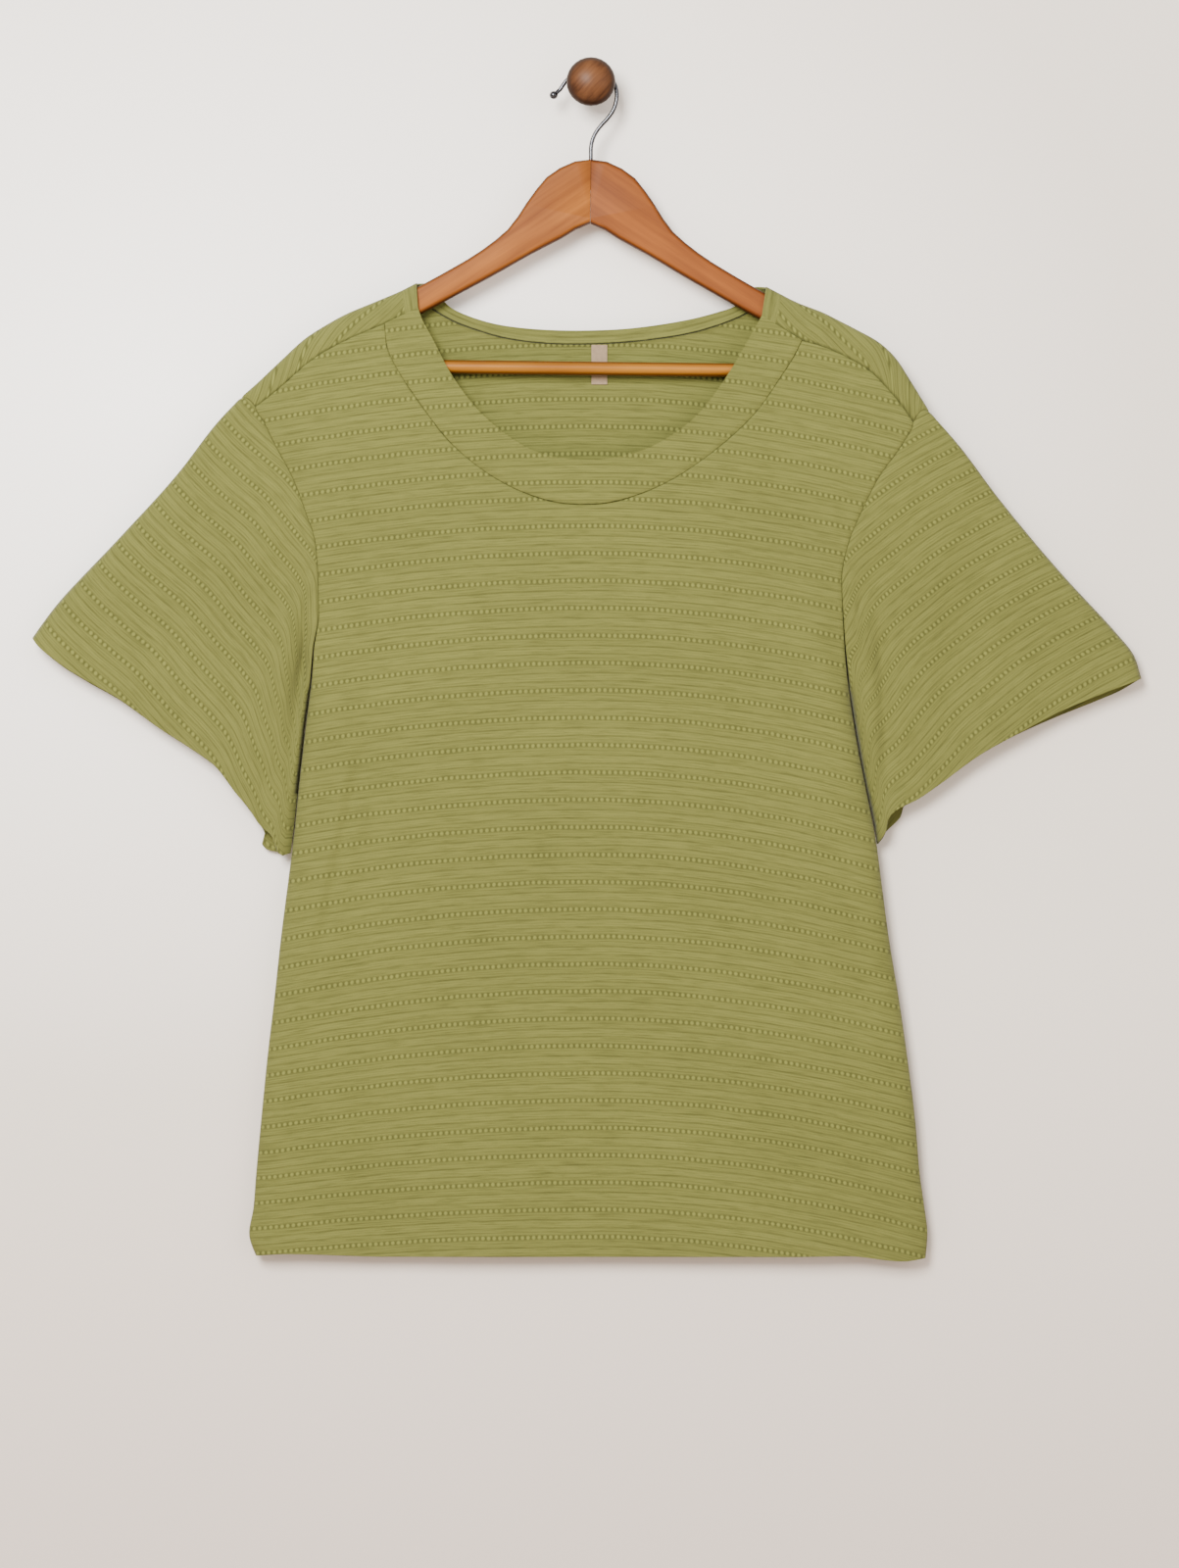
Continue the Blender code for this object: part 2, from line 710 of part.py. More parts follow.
def armhole_ring(side):
    """Points of the armhole from the underarm up the front, over the shoulder and down the back."""
    corner_z = {"left": LEFT_CORNER_Z, "right": RIGHT_CORNER_Z}[side]
    edge = {"left": 0, "right": 1}[side]
    ring = []
    for height in panel_rows(-842.0, corner_z)[LOWER_ROWS:]:
        ring.append(np.array([panel_edges("front", height)[edge], edge_depth("front", side, height), height]))
    column = back_shoulder(side)[0]
    ring.extend(column[-2:-2 * ARCH_ROWS - 2:-1])
    top_row = LOWER_ROWS + UPPER_ROWS
    ring.extend(column[top_row - 1:LOWER_ROWS - 1:-1])
    ring[0][1] = body("seam", UNDERARM_Z)
    return ring


def ring_shifted(side, ring):
    """The armhole ring moved off the body's edge by the seam gap, along the cloth."""
    outward = -1.0 if side == "left" else 1.0
    front_count = UPPER_ROWS
    shifted = []
    for i, point in enumerate(ring):
        if i == 0:
            shifted.append(point + np.array([outward * SEAM_GAP, 0.0, -SEAM_GAP]))
            continue
        before = ring[i - 1]
        after = ring[(i + 1) % len(ring)]
        along = after - before
        turn = min(max((i - front_count) / (2.0 * ARCH_ROWS), 0.0), 1.0) * math.pi
        facing = np.array([0.0, -math.cos(turn), math.sin(turn)])
        across = np.cross(along, facing)
        across /= np.linalg.norm(across)
        if across[0] * outward < 0.0:
            across = -across
        shifted.append(point + across * SEAM_GAP * (1.0 + math.sin(turn)))
    return shifted


def shares(points):
    steps = [0.0]
    for a, b in zip(points, points[1:]):
        steps.append(steps[-1] + float(np.linalg.norm(b - a)))
    return [step / steps[-1] for step in steps]


def sleeve_sheet(side, edge, cuff, front):
    """One sheet of the sleeve between the underarm fold and the top fold, as columns along it."""
    top = Path(SLEEVE_TOP[side])
    under = Path(SLEEVE_UNDER[side])
    outer = Path(cuff)
    low_shift = edge[0][[0, 2]] - under.at(0.0)
    high_shift = edge[-1][[0, 2]] - top.at(0.0)
    sign = -1.0 if front else 1.0
    depth = SLEEVE_DEPTH
    columns = []
    for place, t in zip(edge, shares(edge)):
        column = []
        for s in SLEEVE_STEPS:
            low = under.at(s) + low_shift * (1 - s)
            high = top.at(s) + high_shift * (1 - s)
            rim = outer.at(t)
            flat = (1 - t) * low + t * high + (1 - s) * place[[0, 2]] + s * rim
            flat -= (1 - s) * (1 - t) * edge[0][[0, 2]] + (1 - s) * t * edge[-1][[0, 2]]
            flat -= s * (1 - t) * outer.at(0.0) + s * t * outer.at(1.0)
            stand = STAND_OFF * smoothstep(s / 0.08) * (1 - s) ** 2 * math.exp(-((t - 0.18) / 0.16) ** 2)
            flat[0] += stand * min(t / 0.01, 1.0) * (-1.0 if side == "left" else 1.0)
            width = float(np.linalg.norm(high - low))
            middle = (1 - t) * (body("seam", UNDERARM_Z) * (1 - s) + depth.under_cuff * s)
            middle += t * (HANGER_Y * (1 - s) + depth.top_cuff * s)
            half = depth.half_shoulder + (depth.half_cuff - depth.half_shoulder) * s
            half *= rounded(t * width / depth.fold_width) * rounded((1 - t) * width / depth.fold_width)
            hollow = VALLEY_DEPTH[side] * math.exp(-((t * width - 24.0) / VALLEY_WIDTH) ** 2) * (1.0 - s) ** 0.7
            hanging = middle + sign * (half - (hollow if front else 0.0))
            away = s * top.length - SEAM_FLAT
            dive = DIVE_UNDERARM + (DIVE_SHOULDER - DIVE_UNDERARM) * t ** 1.3
            mix = smoothstep(away / dive)
            y = place[1] * (1.0 - mix) + hanging * mix
            column.append(np.array([flat[0], y, flat[1]]))
        columns.append(column)
    return columns


def sleeve_grid(side):
    """Columns of the whole sleeve, round from the underarm up the front and down the back."""
    ring = ring_shifted(side, armhole_ring(side))
    ring[-1] = ring[0]
    top = UPPER_ROWS + ARCH_ROWS
    front = sleeve_sheet(side, ring[:top + 1], SLEEVE_CUFF[side], True)
    back = sleeve_sheet(side, ring[top:][::-1], SLEEVE_CUFF_BACK[side], False)
    return front + back[::-1][1:-1]


# Neckband and binding

def front_neckband_grid():
    """Columns across the neckband, from its free edge to its seam, left to right."""
    edge = Path(NECK_EDGE)
    columns = []
    seam = band_points()
    for k, outer in enumerate(seam):
        inner = edge.at(k / NECK_COLUMNS)
        at_end = k in (0, len(seam) - 1)
        column = []
        for share in (0.0, 0.5, 1.0):
            x, z = inner + (outer - inner) * share
            if at_end:
                z -= BAND_END_GAP
            column.append(np.array([x, body("front", z) - BAND_PROUD, z]))
        columns.append(column)
    return columns


def binding_end(side):
    """Both edges of the binding over one shoulder, from behind the hanger to the forward seam."""
    seam = BINDING_SEAM[side]
    edge = BINDING_EDGE[side]
    outer = shoulder_over(side, seam.back_x, seam.ridge_x, seam.seam_x, neck_seam_height(side, seam.seam_x))
    inner = shoulder_over(side, edge.back_x, edge.ridge_x, edge.seam_x, neck_seam_height(side, edge.seam_x))
    return list(zip(inner, outer))


def back_neck_binding_grid():
    """Columns across the binding, from its free edge to its seam, left to right."""
    depth = HANGER_Y + SHOULDER_BACK
    edge_left = BINDING_EDGE["left"].back_x
    edge_right = BINDING_EDGE["right"].back_x
    upper = Path([(edge_left, ridge("left", edge_left) - ARCH_DROP)] + list(BINDING_UPPER)
                 + [(edge_right, ridge("right", edge_right) - ARCH_DROP)])
    lower = back_neck_line()
    pairs = binding_end("left")[::-1]
    for k in range(BACK_NECK_COLUMNS + 1):
        inner = upper.at(k / BACK_NECK_COLUMNS)
        outer = lower.at(k / BACK_NECK_COLUMNS)
        pairs.append((np.array([inner[0], depth, inner[1]]), np.array([outer[0], depth, outer[1]])))
    pairs.extend(binding_end("right"))
    columns = []
    ends = 2 * ARCH_ROWS
    for k, (inner, outer) in enumerate(pairs):
        across = (outer - inner) / np.linalg.norm(outer - inner)
        outer = outer - across * (SEAM_GAP if ends < k < len(pairs) - ends - 1 else BINDING_GAP)
        columns.append([inner, 0.5 * (inner + outer), outer])
    return columns


# Making the pieces

def make_material(name, colour, roughness, metallic=0.0):
    material = bpy.data.materials.new(name)
    material.use_nodes = True
    shader = material.node_tree.nodes["Principled BSDF"]
    shader.inputs["Base Color"].default_value = colour
    shader.inputs["Roughness"].default_value = roughness
    shader.inputs["Metallic"].default_value = metallic
    material.diffuse_color = colour
    return material


def link_mesh(name, bm, material, collection):
    mesh = bpy.data.meshes.new(name)
    bm.normal_update()
    bm.to_mesh(mesh)
    bm.free()
    mesh.materials.append(material)
    mesh.shade_smooth()
    mesh.set_sharp_from_angle(angle=math.radians(50))
    item = bpy.data.objects.new(name, mesh)
    collection.objects.link(item)
    return item


def add_cloth(name, columns, thickness, material, collection, closed=False, flip=False, hem=None):
    """A cloth wall: a loft between columns of points on its outer face, thickened inwards."""
    bm = bmesh.new()
    made = [[bm.verts.new(point * MM) for point in column] for column in columns]
    pairs = list(zip(made, made[1:]))
    if closed:
        pairs.append((made[-1], made[0]))
    for a, b in pairs:
        for k in range(min(len(a), len(b)) - 1):
            loop = (a[k], b[k], b[k + 1], a[k + 1])
            bm.faces.new(loop[::-1] if flip else loop)
    item = link_mesh(name, bm, material, collection)
    wall = item.modifiers.new("wall", "SOLIDIFY")
    wall.thickness = thickness * MM
    wall.offset = -1.0
    wall.use_even_offset = False
    wall.use_rim = True
    if hem is not None:
        group = item.vertex_groups.new(name="hem")
        size = len(columns[0])
        chosen = []
        index = 0
        for place, column in enumerate(columns):
            inside = closed or 3 <= place <= len(columns) - 4
            chosen.extend(index + k for k in range(len(column)) if inside and hem(k, size))
            index += len(column)
        group.add(chosen, 1.0, "REPLACE")
        wall.thickness = HEM_CLOTH * MM
        wall.vertex_group = "hem"
        wall.thickness_vertex_group = thickness / HEM_CLOTH
    return item


def add_label(material, collection):
    bm = bmesh.new()
    bmesh.ops.create_cube(bm, size=1.0)
    depth = HANGER_Y + SHOULDER_BACK - CLOTH - SEAM_GAP - LABEL_CLOTH / 2.0
    size = (LABEL_X[1] - LABEL_X[0], LABEL_CLOTH, LABEL_Z[1] - LABEL_Z[0])
    bmesh.ops.scale(bm, vec=[value * MM for value in size], verts=bm.verts)
    centre = (sum(LABEL_X) / 2.0, depth, sum(LABEL_Z) / 2.0)
    bmesh.ops.translate(bm, vec=[value * MM for value in centre], verts=bm.verts)
    return link_mesh("label", bm, material, collection)


def curve_to_bmesh(name, curve, turned):
    """The welded mesh of a curve, turned so that its plane stands up at the hanger's depth."""
    item = bpy.data.objects.new(name, curve)
    bpy.context.scene.collection.objects.link(item)
    if turned:
        item.rotation_euler = (math.radians(90), 0.0, 0.0)
    item.location = (0.0, HANGER_Y * MM, 0.0)
    bpy.context.view_layer.update()
    evaluated = item.evaluated_get(bpy.context.evaluated_depsgraph_get())
    mesh = bpy.data.meshes.new_from_object(evaluated)
    bm = bmesh.new()
    bm.from_mesh(mesh)
    bmesh.ops.transform(bm, matrix=item.matrix_world, verts=bm.verts)
    bmesh.ops.remove_doubles(bm, verts=bm.verts, dist=0.00001)
    bmesh.ops.recalc_face_normals(bm, faces=bm.faces)
    bpy.data.objects.remove(item, do_unlink=True)
    bpy.data.meshes.remove(mesh)
    return bm


def tilt_matrix():
    """The hanger hangs a little lower on the viewer's right."""
    pivot = Vector((0.0, HANGER_Y * MM, TILT_PIVOT_Z * MM))
    return Matrix.Translation(pivot) @ Matrix.Rotation(HANGER_TILT, 4, "Y") @ Matrix.Translation(-pivot)


def poly_spline(curve, points, radii=None, cyclic=False):
    spline = curve.splines.new("POLY")
    spline.points.add(len(points) - 1)
    for k, (x, y, z) in enumerate(points):
        spline.points[k].co = (x * MM, y * MM, z * MM, 1.0)
        spline.points[k].radius = 1.0 if radii is None else radii[k]
    spline.use_cyclic_u = cyclic
    return spline


def add_cutter(name, radius, length, centre, axis, collection):
    bm = bmesh.new()
    bmesh.ops.create_cone(bm, cap_ends=True, segments=16, radius1=radius * MM, radius2=radius * MM,
                          depth=length * MM)
    mesh = bpy.data.meshes.new(name)
    bm.to_mesh(mesh)
    bm.free()
    item = bpy.data.objects.new(name, mesh)
    collection.objects.link(item)
    item.location = [value * MM for value in centre]
    if axis == "X":
        item.rotation_euler = (0.0, math.radians(90), 0.0)
    item.hide_render = True
    item.display_type = "WIRE"
    return item


def add_arm(side, material, collection, cutters):
    """One wooden arm: an upright outline with rounded edges, cut flat at the glued joint."""
    sign = -1.0 if side == "left" else 1.0
    path = Path(ARM_OUTLINE)
    outline = [path.at(k / ARM_STEPS) for k in range(ARM_STEPS + 1)]
    overlap = [(-JOINT_OVERLAP, ARM_OUTLINE[-1].z), (-JOINT_OVERLAP, ARM_OUTLINE[0].z)]
    points = [(sign * x, z, 0.0) for x, z in [tuple(p) for p in outline] + overlap]
    curve = bpy.data.curves.new("arm_outline", "CURVE")
    curve.dimensions = "2D"
    curve.fill_mode = "BOTH"
    curve.extrude = (ARM_THICK / 2.0 - ARM_ROUND) * MM
    curve.bevel_depth = ARM_ROUND * MM
    curve.bevel_resolution = 1
    curve.offset = -ARM_ROUND * MM
    poly_spline(curve, points, cyclic=True)
    bm = curve_to_bmesh("arm_outline", curve, True)
    joint = (sign * GLUE_GAP / 2.0 * MM, 0.0, 0.0)
    geometry = bm.verts[:] + bm.edges[:] + bm.faces[:]
    cut = bmesh.ops.bisect_plane(bm, geom=geometry, dist=1e-7, plane_co=joint,
                                 plane_no=(-sign, 0.0, 0.0), clear_outer=True)
    rim = [edge for edge in cut["geom_cut"] if isinstance(edge, bmesh.types.BMEdge)]
    bmesh.ops.contextual_create(bm, geom=rim)
    bmesh.ops.triangulate(bm, faces=[face for face in bm.faces if len(face.verts) > 4])
    bmesh.ops.recalc_face_normals(bm, faces=bm.faces)
    bmesh.ops.transform(bm, matrix=tilt_matrix(), verts=bm.verts)
    item = link_mesh("hanger_arm_" + side, bm, material, collection)
    shank = add_cutter("shank_hole_" + side, SHANK_HOLE, SHANK_DEPTH - SHANK_TOP,
                       (0.0, HANGER_Y, -(SHANK_DEPTH + SHANK_TOP) / 2.0), "Z", cutters)
    pin_length = BAR_END + SEAM_GAP - PIN_CUT_START
    pin = add_cutter("pin_hole_" + side, PIN_RADIUS + SEAM_GAP, pin_length,
                     (sign * (PIN_CUT_START + pin_length / 2.0), HANGER_Y, BAR_Z), "X", cutters)
    bpy.context.view_layer.update()
    pin.matrix_world = tilt_matrix() @ pin.matrix_world
    for cutter in (shank, pin):
        hole = item.modifiers.new("hole", "BOOLEAN")
        hole.operation = "DIFFERENCE"
        hole.solver = "EXACT"
        hole.object = cutter
    return item


def add_turned(name, profile, material, collection, sides, turn, location):
    """A turned piece: its profile runs from the far end, down the outer side, to the near end."""
    mesh = bpy.data.meshes.new(name)
    rows = [(radius * MM, 0.0, out * MM) for radius, out in profile]
    mesh.from_pydata(rows, [(k, k + 1) for k in range(len(rows) - 1)], [])
    mesh.materials.append(material)
    item = bpy.data.objects.new(name, mesh)
    collection.objects.link(item)
    item.rotation_euler = turn
    item.location = [value * MM for value in location]
    screw = item.modifiers.new("turned", "SCREW")
    screw.steps = sides
    screw.render_steps = sides
    screw.use_merge_vertices = True
    screw.merge_threshold = 0.00001
    screw.use_smooth_shade = True
    return item


def add_bar(material, collection):
    """The round bar, with a thinner pin at each end that goes into an arm."""
    half = BAR_SHOULDER
    profile = [(0.0, BAR_END), (PIN_RADIUS, BAR_END), (PIN_RADIUS, half), (BAR_RADIUS - 0.8, half),
               (BAR_RADIUS, half - 1.2), (BAR_RADIUS, -half + 1.2), (BAR_RADIUS - 0.8, -half),
               (PIN_RADIUS, -half), (PIN_RADIUS, -BAR_END), (0.0, -BAR_END)]
    bar = add_turned("hanger_bar", profile, material, collection, 24,
                     (0.0, math.radians(90), 0.0), (0.0, HANGER_Y, BAR_Z))
    bpy.context.view_layer.update()
    bar.matrix_world = tilt_matrix() @ bar.matrix_world
    return bar


def add_hook(material, collection):
    """The wire hook: a ball at its tip, an arc over the knob's neck and a straight shank."""
    path = Path(HOOK)
    start = np.array(HOOK[0], float)
    towards = np.array(HOOK[1], float) - start
    towards /= np.linalg.norm(towards)
    points = []
    radii = []
    for turn in range(-4, 4):
        angle = turn / 4.5 * math.pi / 2.0
        x, z = start + towards * BALL_RADIUS * math.sin(angle)
        points.append((x, z, 0.0))
        radii.append(max(BALL_RADIUS * math.cos(angle) / WIRE_RADIUS, 0.3))
    for k in range(1, HOOK_STEPS + 1):
        x, z = path.at(0.022 + (1.0 - 0.022) * k / HOOK_STEPS)
        points.append((x, z, 0.0))
        radii.append(1.0)
    curve = bpy.data.curves.new("hook_wire", "CURVE")
    curve.dimensions = "3D"
    curve.bevel_depth = WIRE_RADIUS * MM
    curve.bevel_resolution = 2
    curve.use_fill_caps = True
    poly_spline(curve, points, radii)
    bm = curve_to_bmesh("hook_wire", curve, True)
    return link_mesh("hanger_hook", bm, material, collection)


def is_hem(row, size):
    return row <= 1


def build():
    for item in list(bpy.data.objects):
        bpy.data.objects.remove(item, do_unlink=True)
    collection = bpy.data.collections.new("blouse_on_hanger")
    cutters = bpy.data.collections.new("cutters")
    bpy.context.scene.collection.children.link(collection)
    bpy.context.scene.collection.children.link(cutters)
    cloth = make_material("olive_knit", OLIVE, 0.85)
    label = make_material("label_tape", LABEL_BEIGE, 0.8)
    wood = make_material("varnished_beech", BEECH, 0.4)
    knob_wood = make_material("oiled_wood", DARK_BEECH, 0.5)
    steel = make_material("steel_wire", STEEL, 0.3, 1.0)

    add_cloth("front", front_grid(), CLOTH, cloth, collection, hem=is_hem)
    add_cloth("back", back_grid(), CLOTH, cloth, collection, flip=True, hem=is_hem)
    for side in ("left", "right"):
        add_cloth("sleeve_" + side, sleeve_grid(side), CLOTH, cloth, collection, closed=True,
                  flip=side == "right", hem=lambda row, size: row >= size - 2)
    add_cloth("front_neckband", front_neckband_grid(), BAND_CLOTH, cloth, collection, flip=True)
    add_cloth("back_neck_binding", back_neck_binding_grid(), BINDING_CLOTH, cloth, collection)
    add_label(label, collection)
    for side in ("left", "right"):
        add_arm(side, wood, collection, cutters)
    add_bar(wood, collection)
    add_hook(steel, collection)
    add_turned("wall_knob", KNOB, knob_wood, collection, KNOB_SIDES,
               (math.radians(90), 0.0, 0.0), (0.0, 0.0, 0.0))


build()
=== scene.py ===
# %% [markdown]
# # A knitted blouse on a wooden hanger
# The real thing is a soft, short-sleeved top cut from one striped jacquard knit and hung flat on a
# wooden hanger, over a turned knob on a wall. Its solids are already made and packed. This script loads
# them as a fixed frame and dresses them: thin cloth with seams, folds and a knitted pattern, oiled wood
# and bright wire. All cloth sizes below are in millimetres, as a dressmaker writes them, and MM turns
# them into metres where a mesh is made.

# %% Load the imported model
import math
from collections import namedtuple

import bmesh
import bpy
import numpy as np
from mathutils import Euler, Matrix, Vector


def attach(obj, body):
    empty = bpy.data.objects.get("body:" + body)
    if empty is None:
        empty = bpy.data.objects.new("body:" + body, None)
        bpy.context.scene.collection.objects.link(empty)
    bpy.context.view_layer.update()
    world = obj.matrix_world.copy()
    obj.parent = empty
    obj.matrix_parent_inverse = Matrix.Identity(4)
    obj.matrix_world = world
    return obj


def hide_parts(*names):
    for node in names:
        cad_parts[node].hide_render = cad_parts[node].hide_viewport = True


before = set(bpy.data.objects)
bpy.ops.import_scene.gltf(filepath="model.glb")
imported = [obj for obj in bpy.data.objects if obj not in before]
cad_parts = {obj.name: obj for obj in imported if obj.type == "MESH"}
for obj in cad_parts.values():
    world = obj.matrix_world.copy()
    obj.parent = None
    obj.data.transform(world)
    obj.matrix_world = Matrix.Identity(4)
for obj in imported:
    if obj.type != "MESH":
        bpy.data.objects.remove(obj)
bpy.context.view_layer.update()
MM = 0.001
SIDES = ("left", "right")
print("nodes:", sorted(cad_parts))


def add_object(name, data):
    """A new object of the scene that holds a mesh, a lamp or a camera."""
    made = bpy.data.objects.new(name, data)
    bpy.context.scene.collection.objects.link(made)
    return made


# %% [markdown]
# ## Curves through short tables
# A pattern cutter keeps a garment as a few measured points joined by smooth curves. Two helpers do the
# same here. One reads a value from a table at any height, rising and falling only where the table does,
# so a seam never bulges between two rows. The other follows points in the plane by length, which spreads
# the columns of the cloth evenly along a curved seam.

# %% Read a table smoothly
def smooth_table(xs, ys):
    """A function through the rows of a table, smooth and without overshoot."""
    xs = np.asarray(xs, float)
    ys = np.asarray(ys, float)
    step = np.diff(xs)
    slope = np.diff(ys) / step
    tangent = np.zeros(len(xs))
    tangent[0] = slope[0]
    tangent[-1] = slope[-1]
    if len(xs) > 2:
        before, after = slope[:-1], slope[1:]
        both = before * after > 0.0
        tangent[1:-1][both] = 2.0 * before[both] * after[both] / (before[both] + after[both])

    def read(x):
        x = np.clip(x, xs[0], xs[-1])
        i = np.clip(np.searchsorted(xs, x) - 1, 0, len(step) - 1)
        t = (x - xs[i]) / step[i]
        value = ys[i] * (2 * t ** 3 - 3 * t ** 2 + 1) + ys[i + 1] * (3 * t ** 2 - 2 * t ** 3)
        lean = tangent[i] * (t ** 3 - 2 * t ** 2 + t) + tangent[i + 1] * (t ** 3 - t ** 2)
        return value + step[i] * lean

    return read


def column_table(rows, column, key):
    return smooth_table([getattr(row, key) for row in rows], [getattr(row, column) for row in rows])


def smoothstep(value):
    """0 below 0, 1 above 1, and level at both ends."""
    t = np.clip(value, 0.0, 1.0)
    return t * t * (3.0 - 2.0 * t)


def rounded(value, power=2.2):
    """A quarter of a superellipse: rises steeply from 0 and is level at 1."""
    t = np.clip(value, 0.0, 1.0)
    return (1.0 - (1.0 - t) ** power) ** (1.0 / power)


# %% Follow a curve by its length
def lengths_along(points):
    """Length of the way from the first point to each point."""
    return np.concatenate([[0.0], np.cumsum(np.linalg.norm(np.diff(points, axis=0), axis=1))])


class Path:
    """A smooth curve through points, measured along its length from 0 to 1."""

    def __init__(self, points):
        rows = np.array([tuple(p) for p in points], float)
        ends = np.vstack([2 * rows[0] - rows[1], rows, 2 * rows[-1] - rows[-2]])
        dense = []
        for i in range(1, len(ends) - 2):
            corner = ends[i - 1:i + 3]
            gaps = np.sqrt(np.maximum(np.linalg.norm(np.diff(corner, axis=0), axis=1), 1e-6))
            knots = np.concatenate([[0.0], np.cumsum(gaps)])
            for t in np.linspace(knots[1], knots[2], 16, endpoint=False):
                dense.append(self.blend(corner, knots, t))
        dense.append(rows[-1])
        self.rows = np.array(dense)
        lengths = lengths_along(self.rows)
        self.length = float(lengths[-1])
        self.marks = lengths / self.length

    @staticmethod
    def blend(points, knots, t):
        a, b, c, d = points
        k0, k1, k2, k3 = knots
        ab = a * (k1 - t) / (k1 - k0) + b * (t - k0) / (k1 - k0)
        bc = b * (k2 - t) / (k2 - k1) + c * (t - k1) / (k2 - k1)
        cd = c * (k3 - t) / (k3 - k2) + d * (t - k2) / (k3 - k2)
        abc = ab * (k2 - t) / (k2 - k0) + bc * (t - k0) / (k2 - k0)
        bcd = bc * (k3 - t) / (k3 - k1) + cd * (t - k1) / (k3 - k1)
        return abc * (k2 - t) / (k2 - k1) + bcd * (t - k1) / (k2 - k1)

    def at(self, t):
        t = np.clip(t, 0.0, 1.0)
        return np.stack([np.interp(t, self.marks, column) for column in self.rows.T], axis=-1)

    def near(self, x, z):
        """Distance from places to the curve, signed by side, and how far along the nearest point lies."""
        x, z = np.broadcast_arrays(np.asarray(x, float), np.asarray(z, float))
        last = 240
        marks = self.at(np.linspace(0.0, 1.0, last + 1))
        gap = (x[..., None] - marks[:, 0]) ** 2 + (z[..., None] - marks[:, 1]) ** 2
        best = np.argmin(gap, axis=-1)
        ahead = marks[np.minimum(best + 1, last)] - marks[np.maximum(best - 1, 0)]
        side = ahead[..., 0] * (z - marks[best][..., 1]) - ahead[..., 1] * (x - marks[best][..., 0])
        return np.sqrt(np.min(gap, axis=-1)) * np.sign(side), best / last


# %% [markdown]
# ## Measures of the blouse
# The tables repeat the cut of the solids: the body's outline and depths by height, the shoulder ridge,
# every seam line and the sleeves' edges. Left and right are the viewer's. Depth is the Y axis: the wall
# is at 0 and the viewer is towards minus.

# %% Body, shoulders and neckline
HANGER_Y = -20.0
SHOULDER_FRONT = 8.5
SHOULDER_BACK = 8.8
ARCH_DROP = 9.0
ARCH_POWER = 3.0
UNDERARM_Z = -430.0
CORNER_Z = {"left": -231.7, "right": -242.9}
SIDE_ROLL = 20.0
ARMHOLE_OPENING = {"left": 95.0, "right": 130.0}

Section = namedtuple("Section", "z left right back_left back_right front back seam")
BODY = [
    Section(-842, -239, 240, -239, 240, -17.8, -5.5, -11),
    Section(-822, -245.3, 241.5, -245.3, 241.5, -18.2, -5.3, -11),
    Section(-804, -242.2, 239.4, -242.2, 239.4, -18.6, -5.1, -11),
    Section(-780, -240.2, 236, -240.2, 236, -19.2, -4.8, -11.2),
    Section(-738, -236.2, 232.3, -236.2, 232.3, -20, -4.5, -11.5),
    Section(-696, -232, 226.9, -232, 226.9, -20.7, -4.3, -11.8),
    Section(-654, -227, 220.8, -227, 220.8, -21.4, -4.1, -12),
    Section(-612, -222.4, 213.8, -222.4, 213.8, -22.1, -4, -12.3),
    Section(-570, -217, 208.2, -217, 208.2, -22.9, -3.8, -12.7),
    Section(-539, -213, 204, -213, 204, -23.5, -3.6, -13),
    Section(-501, -209, 196.5, -209, 196.5, -24.2, -3.5, -13.3),
    Section(-464, -204.8, 189.5, -204.8, 189.5, -24.9, -3.5, -13.7),
    Section(-430, -200.5, 184.5, -200.5, 184.5, -25.6, -3.7, -14),
    Section(-404, -198, 181.7, -199, 183.5, -26, -4, -14.3),
    Section(-380, -194.2, 180, -198.2, 183.5, -26.4, -4.4, -14.8),
    Section(-354, -194.6, 178.8, -199.5, 185.5, -26.8, -5, -15.5),
    Section(-329, -196.5, 183.5, -203.5, 190, -27.2, -5.8, -16.5),
    Section(-305, -204, 193.5, -210, 198, -27.6, -6.8, -17.5),
    Section(-283, -212.2, 204.5, -219.5, 209, -27.9, -8, -18.5),
    Section(-258, -225.5, 222, -234, 226, -28.2, -9.5, -19.3),
    Section(-243, -232.8, 229.6, -244, 241.5, -28.4, -10.4, -19.7),
    Section(-231.7, -239, 229.6, -249.5, 241.5, -28.5, -11, -20),
    Section(-210, -239, 229.6, -249.5, 241.5, -28.5, -11.2, -20),
]

Spot = namedtuple("Spot", "x z")


def spots(*pairs):
    """Points of a seam or edge, across and up, as they are seen from the front."""
    return [Spot(*pair) for pair in pairs]


HEM = spots(
    (-244, -838.5), (-216, -836.6), (-142, -838.6), (142, -838.6), (183, -838),
    (223, -841.8), (241, -839.6))

RIDGE = {
    "left": spots(
        (-250.1, -224.7), (-239.4, -215.4), (-221.9, -198.8), (-203.7, -182.2), (-190.4, -173.6),
        (-175.7, -165.4), (-155.4, -156.8), (-135.1, -148.2), (-124.6, -142.8), (-112, -138)),
    "right": spots(
        (112, -139.8), (125.3, -145.4), (147, -156.6), (165.2, -163.6), (176.4, -169.2),
        (191.1, -176.8), (205, -184.6), (217, -195.6), (229.6, -215), (242.2, -235.6)),
}

SHOULDER_SEAM = {
    "left": spots(
        (-239, -231.7), (-226, -221.5), (-215.6, -212.5), (-198.1, -197.6), (-175, -184.4),
        (-158.2, -177), (-147, -172.4)),
    "right": spots(
        (229.6, -242.9), (221.2, -230.5), (211.4, -219), (200.9, -207.8), (186.2, -198.2),
        (168, -189.8), (150.2, -184.4)),
}

BindingSeam = namedtuple("BindingSeam", "back_x ridge_x seam_x")
BINDING_SEAM = {
    "left": BindingSeam(-124, -135, -132.3),
    "right": BindingSeam(124.5, 136, 131.5),
}

ArmholeTop = namedtuple("ArmholeTop", "back_x ridge_x")
ARMHOLE_TOP = {"left": ArmholeTop(-249.5, -250.1), "right": ArmholeTop(241.5, 242.2)}

